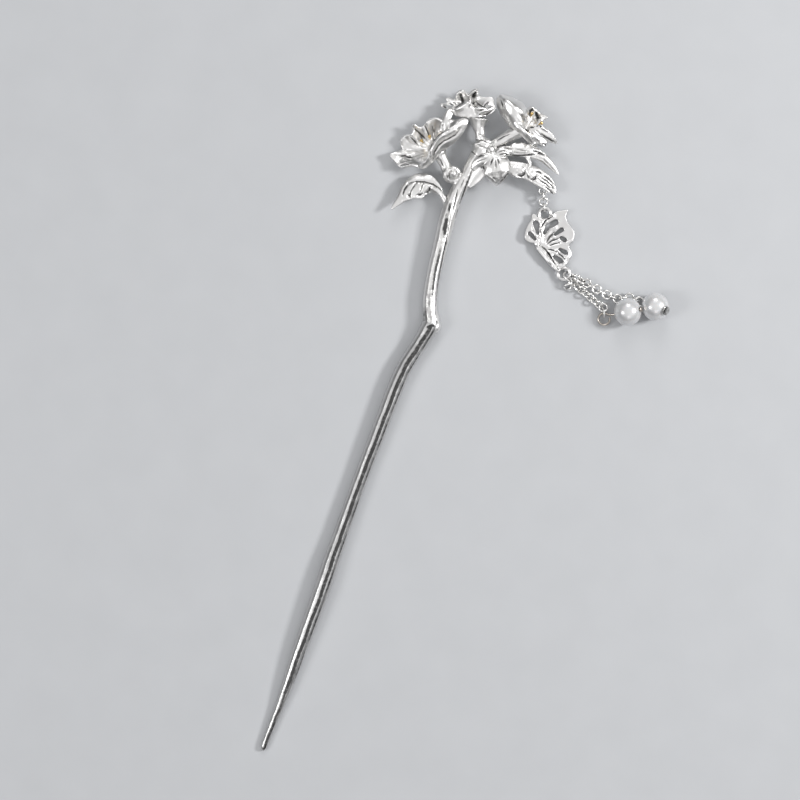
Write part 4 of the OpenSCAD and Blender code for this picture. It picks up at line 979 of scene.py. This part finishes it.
jump_at = low_loop + flat(RING_POSE[0]) * (loop_r + RING_OUT)
jump_at.z = RING_POSE[2]

near_middles = [Vector((jump_at.x + NEAR_START[0], jump_at.y + NEAR_START[1], NEAR_CHAIN[0][2]))]
for n in range(1, len(NEAR_CHAIN)):
    step = near_middles[-1] + flat(NEAR_CHAIN[n - 1][0]) * (pitch - NEAR_SLACK)
    near_middles.append(Vector((step.x, step.y, NEAR_CHAIN[n][2])))
near_eye = near_middles[-1] + flat(NEAR_CHAIN[-1][0]) * (
    link_r + near_r - (LINK_WIRE + PIN_WIRE) / 2 - PLAY - NEAR_LAP)
near_eye.z = PIN_NEAR[4]
near_touch = near_eye + flat(PIN_NEAR[5]) * near_r
near_bend = near_touch + flat(PIN_NEAR[0]) * PIN_NEAR[1]
near_way = aim(PIN_NEAR[2], PIN_NEAR[3])
near_pearl_at = near_bend + near_way * ((PEARL / 2 - PIN_NEAR[4]) / sin(radians(PIN_NEAR[3])))
far_pearl_at = near_pearl_at + flat(PEARLS_HEADING) * (PEARL + PEARL_GAP)
far_way = aim(PIN_FAR[2], PIN_FAR[3])
far_bend = far_pearl_at - far_way * ((PEARL / 2 - PIN_FAR[4]) / sin(radians(PIN_FAR[3])))
far_touch = far_bend - flat(PIN_FAR[0]) * PIN_FAR[1]
far_eye = far_touch - flat(PIN_FAR[5]) * far_r

far_from = Vector((jump_at.x + FAR_START[0], jump_at.y + FAR_START[1], 0))
span = far_eye + flat(FAR_HEADING) * far_r - far_from
far_middles = [
    Vector((far_from.x + span.x * a - span.y * b, far_from.y + span.y * a + span.x * b, z))
    for a, b, z, _ in FAR_ROUTE
]

# Chain links: one is made, a little stouter than the cast size, and the others are copies
link_made = ring_piece("link", (0, 0, 0), UP, LINK + STOUTER, LINK_WIRE + STOUTER)


def link(name, middle, way, roll):
    take_up(link_made)
    bpy.ops.object.duplicate()
    piece = bpy.context.object
    piece.name = name
    piece.data.name = name
    turn_to(piece, middle, link_normal(way.normalized(), roll))
    finished(into_frame(piece), wire_silver, "silver", name)


for n, at in enumerate(top_middles):
    link("top_link_%d" % (n + 1), at, top_way, 90 if n == 1 else 0)
for name, middles, rolls in (
        ("near_link_%d", near_middles + [near_eye], [row[1] for row in NEAR_CHAIN]),
        ("far_link_%d", far_middles + far_middles[-1:], [row[3] for row in FAR_ROUTE])):
    for n, roll in enumerate(rolls):
        link(name % (n + 1), middles[n], middles[n + 1] - middles[max(n - 1, 0)], roll)
for n, (x, y, z, heading, roll) in enumerate(SPARE_LINKS):
    link("spare_link_%d" % (n + 1), (jump_at.x + x, jump_at.y + y, z), flat(heading), roll)
bpy.data.objects.remove(link_made)

tilt = radians(RING_POSE[1])
jump_ring = ring_piece(
    "jump_ring", jump_at, flat(RING_POSE[0] + 90) * cos(tilt) + UP * sin(tilt),
    JUMP_RING, RING_WIRE, 48)
finished(into_frame(jump_ring), wire_silver, "silver", "jump_ring")


def pearl(name, middle, way):
    """A round pearl, its bore opened by hand at both ends and run through."""
    lay_down()
    bpy.ops.mesh.primitive_uv_sphere_add(segments=64, ring_count=32, radius=PEARL / 2 * mm)
    piece, mesh = start_edit(name)
    for end in (1, -1):
        pick(mesh, [
            v for v in mesh.verts if v.co.z * end > 0 and hypot(v.co.x, v.co.y) < 0.3 * mm])
        bpy.ops.mesh.delete(type="VERT")
        rim = [v for v in mesh.verts if v.is_boundary and v.co.z * end > 0]
        pick(mesh, rim)
        wider = BORE * 1.25 / (hypot(rim[0].co.x, rim[0].co.y) / mm)
        bpy.ops.transform.resize(value=(wider, wider, 1))
        bpy.ops.transform.translate(value=(0, 0, -0.02 * mm * end))
        bpy.ops.mesh.extrude_region_move()
        bpy.ops.transform.resize(value=(0.8, 0.8, 1))
        bpy.ops.transform.translate(value=(0, 0, -0.1 * mm * end))
        bpy.ops.mesh.extrude_region_move()
        bpy.ops.transform.translate(value=(0, 0, -1.3 * mm * end))
    pick(mesh, [v for v in mesh.verts if v.is_boundary])
    bpy.ops.mesh.bridge_edge_loops()
    close_up()
    turn_to(piece, middle, way)
    finished(into_frame(piece), pearl_white, "pearl", name)


pearl("pearl_near", near_pearl_at, near_way)
pearl("pearl_far", far_pearl_at, far_way)


def head_pin(name, eye, r, start, touch, bend, pearl_at, way, head, silver, shade):
    """The eye loop is bent round from its cut end, then runs on through the pearl."""
    run = [eye + flat(start - k * (start - touch) / 34) * r for k in range(35)]
    left = run[-1]
    run += [left * 0.5 + bend * 0.5, bend - (bend - left).normalized() * 0.15, bend + way * 0.18]
    head_at = pearl_at + way * (PEARL / 2 + PIN_GAP + HEAD_THICK / 2)
    run += [bend.lerp(head_at, k / 8) for k in range(1, 9)]
    body = wire(name, run, PIN_WIRE, 12)
    lay_down()
    bpy.ops.mesh.primitive_cylinder_add(
        vertices=32, radius=head / 2 * mm, depth=HEAD_THICK * mm)
    piece, _ = start_edit("head")
    bpy.ops.mesh.select_all(action="SELECT")
    bpy.ops.mesh.bevel(offset=0.12 * mm, segments=3, affect="EDGES")
    end_edit()
    # The head takes an even painted shade, as strong as the shade argument
    head_shade = piece.data.attributes.new("painted_shade", "FLOAT", "POINT")
    for value in head_shade.data:
        value.value = shade
    turn_to(piece, head_at, way)
    pin = join(name, [body, piece])
    finished(into_frame(pin), silver, "silver", name, angle=40)


head_pin("head_pin_near", near_eye, near_r, 378, PIN_NEAR[5], near_bend, near_pearl_at, near_way,
         1.3, warm_wire, 0.1)
head_pin("head_pin_far", far_eye, far_r, 335, PIN_FAR[5], far_bend, far_pearl_at, far_way,
         2.3, wire_silver, 0.5)


def stamen(name, row, throat, width):
    """A thread with a grainy anther on its tip."""
    foot, way = from_root(throat, width, *row[:3]), aim(*row[3:])
    body = wire(name, [foot + way * (0.12 + 1.38 * k / 4) for k in range(5)], THREAD, 8)
    lay_down()
    bpy.ops.mesh.primitive_ico_sphere_add(subdivisions=2, radius=ANTHER / 2 * mm)
    piece, mesh = start_edit("anther")
    bpy.ops.mesh.select_mode(type="FACE")
    bpy.ops.mesh.select_all(action="DESELECT")
    mesh.faces.ensure_lookup_table()
    for f in mesh.faces:
        f.select_set(f.index % 3 == 0)
    bpy.ops.mesh.inset(thickness=0.02 * mm, use_individual=True)
    bpy.ops.transform.shrink_fatten(value=0.09 * mm)
    close_up()
    apply_modifier(piece, "round", "SUBSURF", levels=1)
    turn_to(piece, foot + way * THREAD_LENGTH, way)
    finished(into_frame(join(name, [body, piece])), gold, "gold", name)


for side, rows, throat, width in (
        ("left", STAMENS_LEFT, THROAT_LEFT, BIG_FLOWER),
        ("right", STAMENS_RIGHT, THROAT_RIGHT, MID_FLOWER)):
    for n, row in enumerate(rows):
        stamen("stamen_%s_%d" % (side, n + 1), row, throat, width)


# The butterfly: plate, pierced slots and two loops, run together
def slot_outline(x1, y1, r1, x2, y2, r2):
    """A pierced slot with round ends, filed out a little wider than it was cast."""
    a, b = Vector((x1, y1)), Vector((x2, y2))
    r1, r2 = r1 + SLOT_FILED, r2 + SLOT_FILED
    way = b - a
    turn, wrap = atan2(way.y, way.x), acos((r1 - r2) / way.length)
    points = []
    for k in range(9):
        t = turn + wrap + k * (2 * pi - 2 * wrap) / 8
        points.append((a.x + r1 * cos(t), a.y + r1 * sin(t)))
    for k in range(9):
        t = turn - wrap + k * 2 * wrap / 8
        points.append((b.x + r2 * cos(t), b.y + r2 * sin(t)))
    return points


def plate(name, outline, low=0.0, high=THROUGH):
    """A flat plate, or by itself a punch that goes right through one."""
    piece, mesh, loop = start_ring(name, len(outline), 1)
    seat(loop, [(x, y, low) for x, y in outline])
    top = draw_out(mesh, loop)
    seat(top, [(x, y, high) for x, y in outline])
    fill(mesh, loop)
    fill(mesh, top)
    close_up()
    return piece


def cut(piece, tool):
    apply_modifier(piece, "cut", "BOOLEAN", operation="DIFFERENCE", object=tool, solver="EXACT")
    bpy.data.objects.remove(tool)


def at_wing(x, y):
    return (butterfly_at.x + x * BUTTERFLY, butterfly_at.y + y * BUTTERFLY)


wings = plate(
    "butterfly", [at_wing(*round_at(WINGS, k / 2)) for k in range(2 * len(WINGS))],
    PLATE_LOW, PLATE_HIGH)
for slot in SLOTS:
    cut(wings, plate("slot", [at_wing(*p) for p in slot_outline(*slot)]))
turns = [k * pi / 16 for k in range(32)]
for at in (butterfly_at, low_loop):
    cut(wings, plate("hole", [(at.x + loop_r * cos(t), at.y + loop_r * sin(t)) for t in turns]))
loops = [ring_piece("loop", at, UP, LOOP, LOOP_WIRE, 40, 14) for at in (butterfly_at, low_loop)]
butterfly = join("butterfly", [wings] + loops)
melt(butterfly, 0.11, 3)
take_up(butterfly)
press(-0.28, 0.75,
      [141, 140, 140.5, 132, 142.5, 124, 147, 118.5, 153.5, 114.5],
      [138.5, 143, 143, 149, 149, 157, 154, 164, 159, 170])
press(-0.35, 1.0, [138, 147.5, 143, 154, 149, 160.5], core=0.3)
press(-0.16, 0.5,
      [134, 119.5, 133, 126, 136.5, 134], [139.5, 121, 140, 128],
      [129.5, 131, 131, 136.5, 136.5, 141], [133, 130.5, 138, 137], [146, 136, 151, 129, 156, 126],
      [152, 137, 157, 131, 163, 128.5], [156, 149.5, 163, 148.5, 168.5, 151, 168.5, 156],
      [152, 154, 156, 162.5, 162, 166, 165, 161], [160, 140.5, 168, 142, 173, 139])
# Grooves chased in, with shade painted along them
press(0.3, 0.45,
      [139.7, 143.3, 146.3, 148.8, 151.3, 156.3, 158.8, 168], [141.5, 125, 145.5, 119, 153, 115])
press(0.22, 0.42,
      [146.3, 141.7, 149.7, 135.8, 154.7, 130.8], [147.2, 142.7, 151.3, 140, 159.7, 136.7],
      [149.7, 144.5, 154.7, 142.5, 160, 141.7], [148, 148, 153, 148.9, 156.3, 150.5],
      [158, 151.7, 162, 154.6, 165.5, 158.3], [140.3, 128, 141.3, 136], [148, 151.5, 150, 153.5],
      core=0.1)
finished(into_frame(butterfly), satin_silver, "silver", "butterfly")


# The pale floor, the light and the camera
lay_down()
bpy.ops.mesh.primitive_plane_add(size=3, location=(0.01, 0.0945, -0.00001))
floor = bpy.context.object
floor.name = "floor"
floor.data.materials.append(material("floor", stone))

right = flat(LEAN)
up_page = flat(LEAN + 90)
aim_at = Vector((-0.15, 94.5, 3)) * mm

# Lamps: place from what they aim at, to the right, up the page and in height, in metres,
# then size and power
for name, side, page, height, size, power in (
        ("key", 0.6, 0.12, 0.46, 0.13, 3.7), ("fill", -0.55, -0.11, 0.52, 0.26, 1.5),
        ("back", 0.05, 0.6, 0.4, 0.3, 1.0), ("front", 0.12, -0.52, 0.52, 0.3, 0.35)):
    where = aim_at + right * side + up_page * page + UP * height
    bpy.ops.object.light_add(type="AREA", location=where)
    light = bpy.context.object
    light.name = name
    light.rotation_euler = (aim_at - where).to_track_quat("-Z", "Y").to_euler()
    light.data.size = size
    light.data.energy = power

bpy.context.scene.view_settings.view_transform = "Standard"
world = bpy.context.scene.world or bpy.data.worlds.new("studio")
bpy.context.scene.world = world
world.use_nodes = True
sky = world.node_tree
height = node(sky, "SeparateXYZ", "Z", {"Vector": node(sky, "TexCoord", "Generated", {})})
greys = [
    (where, grey, grey, grey * 1.02)
    for where, grey in ((0.05, 0.08), (0.38, 0.02), (0.54, 0.42), (0.76, 0.84))
]
feed(sky, sky.nodes["Background"], {
    "Color": ramp(sky, height, (0, 0.35, 0.36, 0.38), (1, 0.92, 0.92, 0.92), *greys),
    "Strength": 0.77})

# The camera looks straight down, turned as far as the spray
lens = bpy.data.cameras.new("camera")
lens.lens = 100
lens.sensor_width = 36
lens.clip_start = 0.05
camera = bpy.data.objects.new("camera", lens)
bpy.context.scene.collection.objects.link(camera)
camera.location = aim_at + UP * 0.5556
camera.rotation_euler = (0, 0, radians(LEAN))
bpy.context.scene.camera = camera
